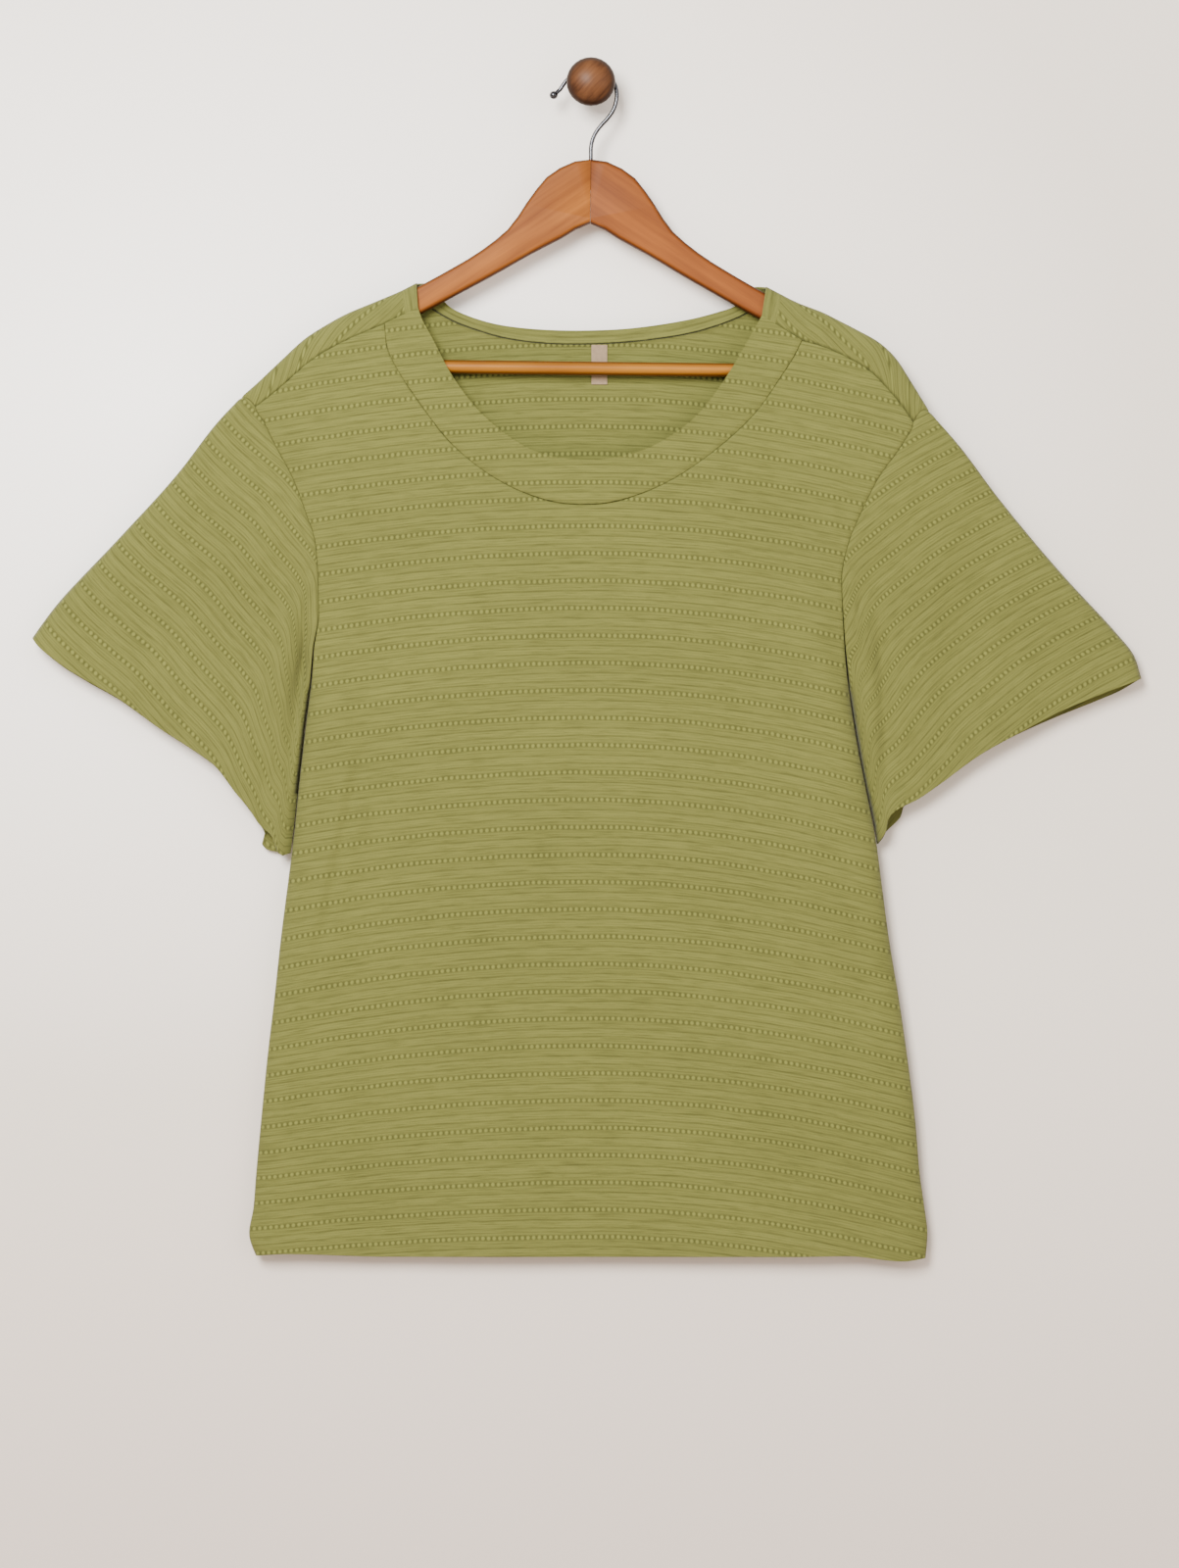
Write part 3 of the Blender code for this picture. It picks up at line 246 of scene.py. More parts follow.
BAND_SEAM = spots(
    (-147, -172.4), (-145.6, -187), (-141.4, -199), (-124.3, -225.8), (-95.9, -261.5),
    (-61.6, -286.3), (-28, -298.9), (-2.8, -301.1), (18.6, -298.6), (52.5, -286.3), (90, -261.5),
    (117.6, -235.5), (136.9, -207.9), (144.6, -195.8), (150.2, -184.4))
NECK_EDGE = spots(
    (-123.2, -161), (-120.2, -169.6), (-113.4, -182), (-99.4, -208.6), (-81.2, -233.1),
    (-61.6, -250.6), (-42, -262.5), (-20.6, -268.3), (-2, -269.6), (12, -268.6), (39.9, -261.5),
    (61.6, -249.2), (77.7, -235.6), (98, -207.9), (114.8, -179.2), (121.8, -166.6))

BINDING_LOWER = spots(
    (-113.4, -160.4), (-99.4, -168.7), (-83.3, -175), (-61.6, -181.2), (-35, -184.8),
    (-8.4, -185.6), (18.6, -184.6), (45.5, -182), (72.1, -177.6), (95.2, -170.6), (112.4, -163))
BINDING_UPPER = spots(
    (-101, -158.9), (-88.6, -165), (-70.7, -170.6), (-52.8, -173.6), (-28, -175.5),
    (-2.8, -175.8), (22.2, -174.8), (45.5, -172.2), (72.1, -167.6), (90, -162.9), (103.5, -158.2))
BINDING_EDGE = {
    "left": BindingSeam(-112, -124.6, -123.2),
    "right": BindingSeam(113, 125.3, 121.8),
}


# %% Sleeves
SLEEVE_TOP = {
    "left": spots(
        (-250.1, -224.7), (-268.1, -243.6), (-296.1, -279.5), (-338.1, -325.2), (-380.1, -369.4),
        (-394.1, -387.6), (-400, -396)),
    "right": spots(
        (242.2, -235.6), (263.9, -259.8), (291.9, -296.8), (333.9, -346.8), (375.9, -392.2),
        (388.5, -408), (394.2, -425)),
}
SLEEVE_UNDER = {
    "left": spots(
        (-200.8, -430.4), (-204.5, -455), (-209.5, -501), (-212.7, -530), (-215, -550)),
    "right": spots(
        (184.8, -430.4), (188.8, -455), (197, -501), (202.4, -526), (204.8, -543.5)),
}
SLEEVE_CUFF = {
    "left": spots(
        (-215, -550), (-221.9, -551.6), (-226, -543.2), (-228.4, -537.3), (-236.6, -530),
        (-244.6, -518), (-254.1, -506.8), (-268, -488.5), (-282.1, -477.8), (-310.1, -459.6),
        (-338.1, -439.3), (-359.1, -427.4), (-380.1, -414.4), (-395, -402.2), (-400, -396)),
    "right": spots(
        (204.8, -543.5), (210.6, -535), (212.4, -526), (217, -520.3), (224, -516.2),
        (233, -512), (249.9, -500.5), (277.9, -480), (305.9, -464.3), (333.9, -449.5),
        (361.9, -437.5), (380, -430.6), (394.2, -425)),
}
SLEEVE_CUFF_BACK = {
    "left": spots(
        (-215, -550), (-223.5, -549.5), (-235, -545.8), (-233.4, -537.5), (-245.6, -518.5),
        (-254.1, -507.6), (-268, -489.4), (-282.1, -478.6), (-310.1, -460.4), (-338.1, -440.3),
        (-359.1, -428.4), (-380.1, -415.4), (-395, -402.8), (-400, -396)),
    "right": spots(
        (204.8, -543.5), (211.2, -535.2), (222.2, -524.3), (225, -516), (249.9, -500.9),
        (277.9, -480.5), (305.9, -465), (333.9, -452.4), (361.9, -441.2), (380, -433.4),
        (394.2, -425)),
}

VALLEY_DEPTH = {"left": 4, "right": 3.4}
VALLEY_WIDTH = 20.0
STAND_OFF = 7.0
SEAM_FLAT = 3.0
DIVE_UNDERARM = 11.0
DIVE_SHOULDER = 90.0

# %% [markdown]
# ## Where the cloth rises and sinks
# Hung cloth is never a flat board. Gravity draws long soft folds down from the shoulders and the bust, a
# knit relaxes into low waves, and a line of sewing gathers the cloth into small puckers. The large folds
# are the same as in the solids. The creases and puckers are laid from what the blouse shows, and
# the back, which faces the wall, gets similar ones.

# %% Long folds
Fold = namedtuple("Fold", "x_top z_top x_low z_low rise width")
FRONT_FOLDS = [
    Fold(-163, -470, -204, -690, 1.6, 16),
    Fold(-120, -560, -150, -842, -1.4, 34),
    Fold(128, -520, 158, -842, 1.5, 36),
    Fold(12, -600, 20, -842, -1.2, 44),
    Fold(168, -380, 196, -640, 1.2, 22),
]
BACK_FOLDS = [
    Fold(-90, -330, -130, -842, 1.6, 40),
    Fold(10, -260, -20, -842, -1.3, 46),
    Fold(110, -360, 140, -842, 1.5, 38),
    Fold(-180, -480, -206, -760, 1.2, 20),
]


def long_folds(folds, x, z):
    total = np.zeros(np.broadcast(x, z).shape)
    for fold in folds:
        run = (fold.z_top - z) / (fold.z_top - fold.z_low)
        centre = fold.x_top + (fold.x_low - fold.x_top) * run
        fade = smoothstep(run * 2.5)
        if fold.z_low > -800.0:
            fade = fade * smoothstep((1.0 - run) * 2.5)
        total += fold.rise * fade * np.exp(-((x - centre) / fold.width) ** 2)
    return total


# %% Creases laid one by one
Crease = namedtuple("Crease", "points depth width shoulder")
FRONT_CREASES = [
    Crease([(-163, -462), (-165.2, -481.6), (-170.8, -508.9), (-176.4, -539), (-183.4, -568.4),
            (-188.3, -593.6), (-196, -623), (-200.5, -646)], 1.5, 3.2, 1),
    Crease([(169.5, -282), (170.8, -293.3), (172.9, -310.1), (175.7, -331.1), (178.5, -354.9),
            (180, -372)], -1, 3.4, -0.6),
    Crease([(-150, -300), (-171, -340), (-186, -384), (-193, -424)], 0.7, 9, 0.6),
    Crease([(100, -640), (128, -700), (150, -770), (164, -830)], 0.5, 11, 0.5),
    Crease([(-206, -700), (-198, -760), (-206, -828)], 0.6, 7, 0.5),
    Crease([(186, -470), (180, -540), (190, -620), (196, -700)], 0.6, 8, 0.5),
]
BACK_CREASES = [
    Crease([(-160, -300), (-172, -360), (-188, -420)], 0.9, 8, 0.7),
    Crease([(150, -300), (166, -360), (176, -424)], 0.9, 8, 0.7),
    Crease([(-40, -230), (-52, -330), (-74, -470), (-84, -620)], 0.7, 12, 0.6),
    Crease([(60, -250), (70, -380), (96, -560)], 0.7, 12, 0.6),
    Crease([(-170, -520), (-186, -620), (-200, -740)], 0.9, 6, 0.7),
]


def creases(table, x, z):
    """A narrow furrow with a low swelling beside it, faded at both ends."""
    total = np.zeros(np.broadcast(x, z).shape)
    for crease in table:
        away, run = Path(crease.points).near(x, z)
        fade = smoothstep(run * 4) * smoothstep((1.0 - run) * 3)
        furrow = crease.depth * np.exp(-(away / crease.width) ** 2)
        swell = crease.shoulder * np.exp(-((np.abs(away) - 2.4 * crease.width) / (1.5 * crease.width)) ** 2)
        swell = swell * np.where(away * crease.depth < 0, 1, 0.35)
        total += fade * (swell - furrow)
    return total


# %% Low waves of the relaxed knit
Wave = namedtuple("Wave", "length_x length_z phase rise")
WAVES = [
    Wave(210, 900, 0.4, 0.42),
    Wave(-134, 520, 2.1, 0.34),
    Wave(88, -610, 4.4, 0.24),
    Wave(-61, -350, 1.2, 0.15),
    Wave(420, 150, 5.1, 0.22),
    Wave(-260, 92, 3.3, 0.12),
    Wave(47, 330, 0.9, 0.10),
]


def low_waves(x, z, shift=0):
    total = np.zeros(np.broadcast(x, z).shape)
    for wave in WAVES:
        turn = 2.0 * math.pi * (x / wave.length_x + z / wave.length_z)
        total += wave.rise * np.sin(turn + wave.phase + shift * wave.phase)
    return total


def puckers(away, along, reach=7, rise=0.34, pitch=8.5):
    """Small gathers across a line of sewing, uneven in length, which fade out into the cloth."""
    turn = 2.0 * math.pi * along / pitch + 1.3 * np.sin(along / 13) + 0.8 * np.sin(along / 5.7)
    return rise * np.sin(turn) * np.exp(-(away / reach) ** 2) * (0.65 + 0.35 * np.sin(along / 31))


# %% [markdown]
# ## From measures to sheets
# Every piece of cloth is a grid of points on its outer face: columns that run down the body, along the
# sleeve or across the band. At a seam the real edges turn inwards and lie against each other, so the last
# points of each grid sink below the face and make the fine groove that a seam shows.

# %% Outline of the body
EDGE_STRIP = 0.001
SEAM_SLIT = 0.03
ARCH_STEPS = 12
SHOULDER_STEPS = np.concatenate([[0, 0.0015, 0.006, 0.014], np.linspace(0.026, 1, 26)])
LOWER_STEPS = np.concatenate([[0, 0.0022, 0.005, 0.009, 0.014, 0.02, 0.026], np.linspace(0.033, 1, 118)])
UPPER_STEPS = np.concatenate([np.linspace(0, 0.96, 54)[1:],
                              [0.968, 0.975, 0.981, 0.986, 0.99, 0.993, 0.996, 1]])
BAND_COLUMNS = 92
BACK_NECK_COLUMNS = 70
BODY_AT = {key: column_table(BODY, key, "z") for key in Section._fields[1:]}
HEM_AT = column_table(HEM, "z", "x")
RIDGE_AT = {side: column_table(RIDGE[side], "z", "x") for side in RIDGE}
BAND_LINE = Path(BAND_SEAM)
SHOULDER_LINE = {side: Path(SHOULDER_SEAM[side]) for side in SHOULDER_SEAM}


def edge_roll(side, z):
    """1 where the panel turns back to the side seam, 0 where it runs on into the sleeve."""
    return 1.0 - rounded((z - UNDERARM_Z) / ARMHOLE_OPENING[side])


def edge_depth(face, side, z):
    roll = edge_roll(side, z)
    return BODY_AT[face](z) * (1.0 - roll) + BODY_AT["seam"](z) * roll


def panel_edges(face, z):
    prefix = "" if face == "front" else "back_"
    return BODY_AT[prefix + "left"](z), BODY_AT[prefix + "right"](z)


def panel_relief(face, x, z):
    """How far the cloth stands out towards the outside, in millimetres."""
    if face == "front":
        lift = long_folds(FRONT_FOLDS, x, z) + creases(FRONT_CREASES, x, z)
        away, along = BAND_LINE.near(x, z)
        lift = lift + puckers(away, along * BAND_LINE.length, 6, 0.2, 9)
        for side in SIDES:
            away, along = SHOULDER_LINE[side].near(x, z)
            lift = lift + puckers(away, along * SHOULDER_LINE[side].length, 7, 0.4, 7.5)
        waves = low_waves(x, z)
    else:
        lift = long_folds(BACK_FOLDS, x, z) + creases(BACK_CREASES, x, z)
        waves = low_waves(x, z, 1.7)
    calm = smoothstep((-175.0 - z) / 90)
    rim = smoothstep((z - HEM_AT(x)) / 60) * 0.6 + 0.4
    return lift + waves * calm * rim + hem_relief(x, z)


HEM_WIDTH = 13.0


def turned_edge(up, thicker):
    """A turned edge is two cloths thick, pressed down where the stitches hold it."""
    double = thicker * (1.0 - smoothstep((up - HEM_WIDTH) / 1.6))
    return double - 0.3 * np.exp(-((up - HEM_WIDTH + 0.8) / 1.1) ** 2)


def hem_relief(x, z):
    up = z - HEM_AT(x)
    near = np.exp(-((up - HEM_WIDTH) / 9) ** 2)
    return turned_edge(up, 0.45) + 0.22 * near * np.sin(x / 1.9 + 1.5 * np.sin(x / 17))


def panel_depth(face, x, z):
    """Depth of the outer face of the front or back panel."""
    left, right = panel_edges(face, z)
    lift = panel_relief(face, x, z)
    depth = BODY_AT[face](z) - (lift if face == "front" else -lift)
    for side, inward in (("left", x - left), ("right", right - x)):
        edge = edge_depth(face, side, z)
        roll = edge_roll(side, z)
        turn = roll * rounded(inward / SIDE_ROLL) + (1.0 - roll) * smoothstep(inward / SIDE_ROLL)
        depth = edge + (depth - edge) * turn
    return depth


def panel_column(face, x, z, inward=None):
    """A column of points from the hem to one point of the panel's upper edge."""
    left, right = panel_edges(face, z)
    u = (x - left) / (right - left) * 2.0 - 1.0
    if inward is not None:
        u = math.copysign(1.0 - inward, u)
    left, right = panel_edges(face, -842)
    low = HEM_AT(left + (right - left) * (u + 1) / 2)
    heights = np.concatenate([low + (UNDERARM_Z - low) * LOWER_STEPS,
                              UNDERARM_Z + (z - UNDERARM_Z) * UPPER_STEPS])
    left, right = panel_edges(face, heights)
    across = left + (right - left) * (u + 1) / 2.0
    depth = panel_depth(face, across, heights)
    below = heights < UNDERARM_Z + 0.1
    seam = BODY_AT["seam"](heights)
    if face == "front":
        depth = np.where(below, np.minimum(depth, seam - SEAM_SLIT), depth)
    else:
        depth = np.where(below, np.maximum(depth, seam + SEAM_SLIT), depth)
    return np.stack([across, depth, heights], axis=1)


# %% The front panel
def front_top():
    """The front panel's upper edge from armhole to armhole."""
    left = SHOULDER_LINE["left"].at(SHOULDER_STEPS)
    right = SHOULDER_LINE["right"].at(SHOULDER_STEPS)[::-1]
    band = BAND_LINE.at(np.linspace(0, 1, BAND_COLUMNS + 1))
    return np.vstack([left, band[1:-1], right])


def side_inward(index, count):
    return {0: 0, 1: EDGE_STRIP, count - 1: 0, count - 2: EDGE_STRIP}.get(index)


def front_columns():
    top = front_top()
    return [panel_column("front", x, z, side_inward(i, len(top))) for i, (x, z) in enumerate(top)]


# %% The back panel, over the shoulders to the forward seams
def shoulder_over(side, back_x, ridge_x, seam_x, seam_z):
    """The run over the hanger, from behind it to the forward seam."""
    turn = np.linspace(0, math.pi / 2, ARCH_STEPS + 1)[1:]
    rise = np.sin(turn) ** (2.0 / ARCH_POWER)
    fall = np.maximum(np.cos(turn), 0) ** (2.0 / ARCH_POWER)
    x = back_x + (ridge_x - back_x) * np.sin(turn) ** 2
    z = RIDGE_AT[side](x) - ARCH_DROP * (1.0 - rise)
    behind = np.stack([x, HANGER_Y + SHOULDER_BACK * fall, z], axis=1)
    x = ridge_x + (seam_x - ridge_x) * (1.0 - fall)
    z = RIDGE_AT[side](x) * fall + seam_z * (1.0 - fall)
    before = np.stack([x, HANGER_Y - SHOULDER_FRONT * rise, z], axis=1)
    return np.vstack([behind, before])


def neck_seam_height(side, x):
    """Height of the forward seam where the neckband meets the back, a straight line."""
    end = {"left": 0, "right": -1}[side]
    inner, outer = NECK_EDGE[end], BAND_SEAM[end]
    return inner.z + (outer.z - inner.z) * (x - inner.x) / (outer.x - inner.x)


def meet_hanger(column):
    """Bring the top of a back column forward to where the hanger holds it."""
    reach = 26.0
    rise = smoothstep((column[:, 2] - column[-1, 2] + reach) / reach)
    column[:, 1] += (HANGER_Y + SHOULDER_BACK - column[-1, 1]) * rise


def shoulder_spot(side, x):
    return x, float(RIDGE_AT[side](x)) - ARCH_DROP


def back_shoulder(side):
    """Columns that go over one shoulder, from the armhole to the neck binding."""
    columns = []
    binding = BINDING_SEAM[side]
    seam = [tuple(p) for p in SHOULDER_LINE[side].at(SHOULDER_STEPS)]
    last = seam[-1][0]
    for share in (0.34, 0.67, 1):
        x = last + (binding.seam_x - last) * share
        seam.append((x, neck_seam_height(side, x)))
    top = ARMHOLE_TOP[side]
    for i, (seam_x, seam_z) in enumerate(seam):
        share = (seam_x - seam[0][0]) / (binding.seam_x - seam[0][0])
        back_x = top.back_x + (binding.back_x - top.back_x) * share
        ridge_x = top.ridge_x + (binding.ridge_x - top.ridge_x) * share
        inward = {0: 0, 1: EDGE_STRIP}.get(i)
        column = panel_column("back", back_x, RIDGE_AT[side](back_x) - ARCH_DROP, inward)
        meet_hanger(column)
        columns.append(np.vstack([column, shoulder_over(side, back_x, ridge_x, seam_x, seam_z)]))
    return columns


def back_neck_line():
    """The seam of the back neck binding, between the two shoulders."""
    ends = [shoulder_spot(side, BINDING_SEAM[side].back_x) for side in SIDES]
    return Path([ends[0]] + BINDING_LOWER + [ends[1]])


def back_columns():
    columns = back_shoulder("left")
    line = back_neck_line().at(np.linspace(0, 1, BACK_NECK_COLUMNS + 1))
    for x, z in line[1:-1]:
        column = panel_column("back", x, z)
        meet_hanger(column)
        columns.append(column)
    return columns + back_shoulder("right")[::-1]


# %% The sleeves
SLEEVE_ALONG = np.concatenate([[0, 0.004, 0.008, 0.013, 0.02], np.linspace(0.03, 0.93, 66),
                               [0.942, 0.954, 0.966, 0.976, 0.985, 0.992, 1]])
SleeveDepth = namedtuple("SleeveDepth", "top_cuff under_cuff half_shoulder half_cuff fold_width")
SLEEVE_DEPTH = SleeveDepth(-11.5, -10.6, 8.6, 6.6, 18)
SLEEVE_FOLDS = {
    "left": [
        Crease([(-262, -262), (-246, -330), (-231, -400), (-222, -470)], -0.9, 10, -0.5),
        Crease([(-330, -345), (-318, -385), (-296, -430)], 0.6, 9, 0.5),
        Crease([(-226, -430), (-228, -480), (-238, -520)], 0.9, 5, 0.7),
        Crease([(-198.5, -350), (-204.5, -420), (-210, -470), (-216.5, -530)], 3.4, 6, 1.6),
    ],
    "right": [
        Crease([(204, -372), (208.5, -420), (211, -470), (212.5, -520)], 3, 5.2, 1.5),
        Crease([(262, -300), (250, -350), (240, -410), (236, -470)], -0.9, 10, -0.5),
        Crease([(318, -360), (308, -400), (296, -444)], 0.6, 9, 0.5),
    ],
}


def armhole_ring(side):
    """Points of the armhole from the underarm up the front, over the shoulder and down the back."""
    edge = {"left": 0, "right": 1}[side]
    heights = UNDERARM_Z + (CORNER_Z[side] - UNDERARM_Z) * np.concatenate([[0], UPPER_STEPS])
    across = panel_edges("front", heights)[edge]
    front = np.stack([across, edge_depth("front", side, heights), heights], axis=1)
    front[0, 1] = BODY_AT["seam"](UNDERARM_Z)
    column = back_shoulder(side)[0]
    over = column[-2:-2 * ARCH_STEPS - 1:-1]
    down = column[len(LOWER_STEPS) + len(UPPER_STEPS) - 1:len(LOWER_STEPS) - 2:-1]
    ring = np.vstack([front, over, down])
    ring[-1] = ring[0]
    return ring, len(front) - 1 + ARCH_STEPS


def sleeve_relief(side, front, x, z, t):
    flip = 1.0 if side == "left" else -1.0
    table = SLEEVE_FOLDS[side]
    lift = creases(table, x, z) if front else 0.6 * creases(table, x + 6.0 * flip, z)
    waves = 0.8 * low_waves(x * 1.3 + 90.0 * flip, z * 1.2, 0.6 if front else 2.3)
    calm = smoothstep(t * 9) * smoothstep((1.0 - t) * 6)
    return (lift + waves) * calm


def sleeve_sheet(side, edge, cuff, front):
    """One sheet of the sleeve between the underarm fold and the top fold, as columns along it."""
    top, under, outer = Path(SLEEVE_TOP[side]), Path(SLEEVE_UNDER[side]), Path(cuff)
    t = (lengths_along(edge) / lengths_along(edge)[-1])[:, None]
    s = SLEEVE_ALONG[None, :]
    flat_edge = edge[:, [0, 2]]
    low = under.at(SLEEVE_ALONG) + (flat_edge[0] - under.at(0)) * (1.0 - SLEEVE_ALONG[:, None])
    high = top.at(SLEEVE_ALONG) + (flat_edge[-1] - top.at(0)) * (1.0 - SLEEVE_ALONG[:, None])
    tt, ss = t[..., None], s[..., None]
    flat = (1 - tt) * low[None] + tt * high[None]
    flat = flat + (1 - ss) * flat_edge[:, None] + ss * outer.at(t[:, 0])[:, None]
    flat = flat - (1 - ss) * (1 - tt) * flat_edge[0] - (1 - ss) * tt * flat_edge[-1]
    flat = flat - ss * (1 - tt) * outer.at(0) - ss * tt * outer.at(1)
    stand = STAND_OFF * smoothstep(s / 0.08) * (1 - s) ** 2 * np.exp(-((t - 0.18) / 0.16) ** 2)
    flat[..., 0] += stand * np.minimum(t / 0.01, 1) * (-1.0 if side == "left" else 1)
    width = np.linalg.norm(high - low, axis=1)[None, :]
    depth = SLEEVE_DEPTH
    middle = (1 - t) * (BODY_AT["seam"](UNDERARM_Z) * (1 - s) + depth.under_cuff * s)
    middle = middle + t * (HANGER_Y * (1 - s) + depth.top_cuff * s)
    half = depth.half_shoulder + (depth.half_cuff - depth.half_shoulder) * s
    half = half * rounded(t * width / depth.fold_width) * rounded((1 - t) * width / depth.fold_width)
    hollow = VALLEY_DEPTH[side] * np.exp(-((t * width - 24) / VALLEY_WIDTH) ** 2) * (1.0 - s) ** 0.7
    sign = -1.0 if front else 1.0
    lift = sleeve_relief(side, front, flat[..., 0], flat[..., 1], t)
    hanging = middle + sign * (half - (hollow if front else 0) + lift)
    away = s * top.length - SEAM_FLAT
    mix = smoothstep(away / (DIVE_UNDERARM + (DIVE_SHOULDER - DIVE_UNDERARM) * t ** 1.3))
    y = edge[:, 1][:, None] * (1.0 - mix) + hanging * mix
    y = y + sign * puckers(s * top.length, t * 230, 7, 0.3, 8) * smoothstep(s / 0.02)
    y = y + sign * turned_edge((1.0 - s) * width * 0.5, 0.4)
    return np.stack([flat[..., 0], y, flat[..., 1]], axis=-1), t[:, 0]


def sleeve_columns(side):
    """Columns of the whole sleeve, round from the underarm up the front and down the back."""
    ring, top = armhole_ring(side)
    front, front_t = sleeve_sheet(side, ring[:top + 1], SLEEVE_CUFF[side], True)
    back, back_t = sleeve_sheet(side, ring[top:][::-1], SLEEVE_CUFF_BACK[side], False)
    columns = list(front) + list(back[::-1][1:-1])
    around = np.concatenate([front_t, 2.0 - back_t[::-1][1:-1]])
    return columns, around


# %% The neckband and the narrow binding
BAND_PROUD = 0.5
BAND_ACROSS = [0, 0.03, 0.07, 0.13, 0.22, 0.35, 0.5, 0.65, 0.78, 0.88, 0.94, 0.97, 1]
BINDING_ACROSS = [0, 0.08, 0.2, 0.4, 0.6, 0.8, 0.92, 1]


def neckband_columns():
    """Columns across the neckband, from its free edge to its seam, left to right."""
    shares_along = np.linspace(0, 1, BAND_COLUMNS + 1)
    inner, outer = Path(NECK_EDGE).at(shares_along), BAND_LINE.at(shares_along)
    columns = []
    share = np.array(BAND_ACROSS)
    for k in range(BAND_COLUMNS + 1):
        x, z = (inner[k] + (outer[k] - inner[k]) * share[:, None]).T
        width = float(np.linalg.norm(outer[k] - inner[k]))
        along = shares_along[k] * BAND_LINE.length
        lift = puckers((1.0 - share) * width, along, 5, 0.22, 8)
        lift = lift + puckers(share * width, along, 4, 0.12, 11)
        lift = lift + 0.35 * low_waves(x * 2, z * 2, 0.5)
        columns.append(np.stack([x, BODY_AT["front"](z) - BAND_PROUD - lift, z], axis=1))
    return columns


def binding_columns():
    """Columns across the binding, from its free edge to its seam, left to right."""
    def over(side, line):
        height = neck_seam_height(side, line.seam_x)
        return shoulder_over(side, line.back_x, line.ridge_x, line.seam_x, height)

    def run(ends, line):
        flat = line.at(np.linspace(0, 1, BACK_NECK_COLUMNS + 1))
        level = np.full(len(flat), HANGER_Y + SHOULDER_BACK)
        neck = np.stack([flat[:, 0], level, flat[:, 1]], axis=1)
        return np.vstack([over("left", ends["left"])[::-1], neck, over("right", ends["right"])])

    left, right = [shoulder_spot(side, BINDING_EDGE[side].back_x) for side in SIDES]
    inner = run(BINDING_EDGE, Path([left] + BINDING_UPPER + [right]))
    outer = run(BINDING_SEAM, back_neck_line())
    return [a + (b - a) * np.array(BINDING_ACROSS)[:, None] for a, b in zip(inner, outer)]


# %% [markdown]
# ## Cloth as thin walls
# A sheet of points becomes cloth in three steps: its faces are laid between neighbouring columns, the
# points near each seam sink into the groove, and a Solidify modifier gives the wall its thickness towards
# the inside. Points near a seam, and in a thin line along the hem and the cuffs, also get a painted shade
# value that darkens the knit there. Each vertex also keeps its place on the flat pattern, across and
# along the knitted rows, in a UV map, so the rows run on over the shoulder and follow the cuff of the
# sleeve as in the real cut.

# %% Lay a sheet and thicken it
SEAM_SINK = 0.75
SEAM_REACH = 1.5
SEAM_SHADE_REACH = 2.0
FREE_EDGE_SHADE_GAP = 0.35
SIDE_REACH = 12.0
NO_SEAM = 1e6


def edge_distances(columns, end):
    """Distance of every point to the low or the high end of its column, along the cloth."""
    found = []
    for column in columns:
        steps = lengths_along(column)
        found.append(steps if end == "low" else steps[-1] - steps)
    return found


def side_distances(columns, found):
    """The smaller of those and the distances to the first and last columns."""
    forward = list(range(len(columns)))
    for order in (forward, forward[::-1]):
        run = np.zeros(len(columns[order[0]]))
        for before, here in zip([order[0]] + order, order):
            size = min(len(run), len(columns[before]), len(columns[here]))
            run = run[:size] + np.linalg.norm(columns[here][:size] - columns[before][:size], axis=1)
            found[here][:size] = np.minimum(found[here][:size], run)
            if run.min() > SIDE_REACH:
                break
    return found


def pick(piece):
    """Make a piece the only one selected, for the operators that follow."""
    bpy.ops.object.select_all(action="DESELECT")
    bpy.context.view_layer.objects.active = piece
    piece.select_set(True)


def add_cloth(name, columns, flat, thickness, sink, free=(), closed=0, flip=False):
    """A cloth wall from columns of points on its outer face and their places on the flat pattern."""
    bm = bmesh.new()
    seam = bm.verts.layers.float.new("seam")
    made = [[bm.verts.new(Vector(point) * MM) for point in column] for column in columns]
    places = {vert: place for column, row in zip(made, flat) for vert, place in zip(column, row)}
    pairs = list(zip(made, made[1:]))
    if closed:
        pairs.append((made[-1], made[0]))
    layer = bm.loops.layers.uv.new("knit")
    for a, b in pairs:
        for k in range(min(len(a), len(b)) - 1):
            loop = (a[k], b[k], b[k + 1], a[k + 1])
            bm.faces.new(loop[::-1] if flip else loop)
    for face in bm.faces:
        across = [places[loop.vert][0] for loop in face.loops]
        for loop in face.loops:
            u, v = places[loop.vert]
            if closed and max(across) - min(across) > 0.2 and u < 0.1:
                u += closed
            loop[layer].uv = (u, v)
    bm.normal_update()
    # Painted shade: points near a seam sink into its groove and darken; a free edge gets a thin dark line.
    for column, away in zip(made, sink):
        for vert, gap in zip(column, away):
            vert.co -= vert.normal * (SEAM_SINK * math.exp(-(gap / SEAM_REACH) ** 2) * MM)
            vert[seam] = max(0, 1.0 - gap / SEAM_SHADE_REACH)
    for column, away in zip(made, free):
        for vert, gap in zip(column, away):
            vert[seam] = max(vert[seam], 1.0 - (gap + FREE_EDGE_SHADE_GAP) / SEAM_SHADE_REACH)
    mesh = bpy.data.meshes.new(name)
    bm.normal_update()
    bm.to_mesh(mesh)
    bm.free()
    mesh.shade_smooth()
    mesh.materials.append(knit)
    piece = add_object(name, mesh)
    wall = piece.modifiers.new("wall", "SOLIDIFY")
    wall.thickness = thickness * MM
    wall.offset = -1.0
    wall.use_even_offset = False
    pick(piece)
    bpy.ops.object.modifier_apply(modifier=wall.name)
    piece.data.set_sharp_from_angle(angle=math.radians(75))
    print(name, len(piece.data.polygons), "faces")
    return piece
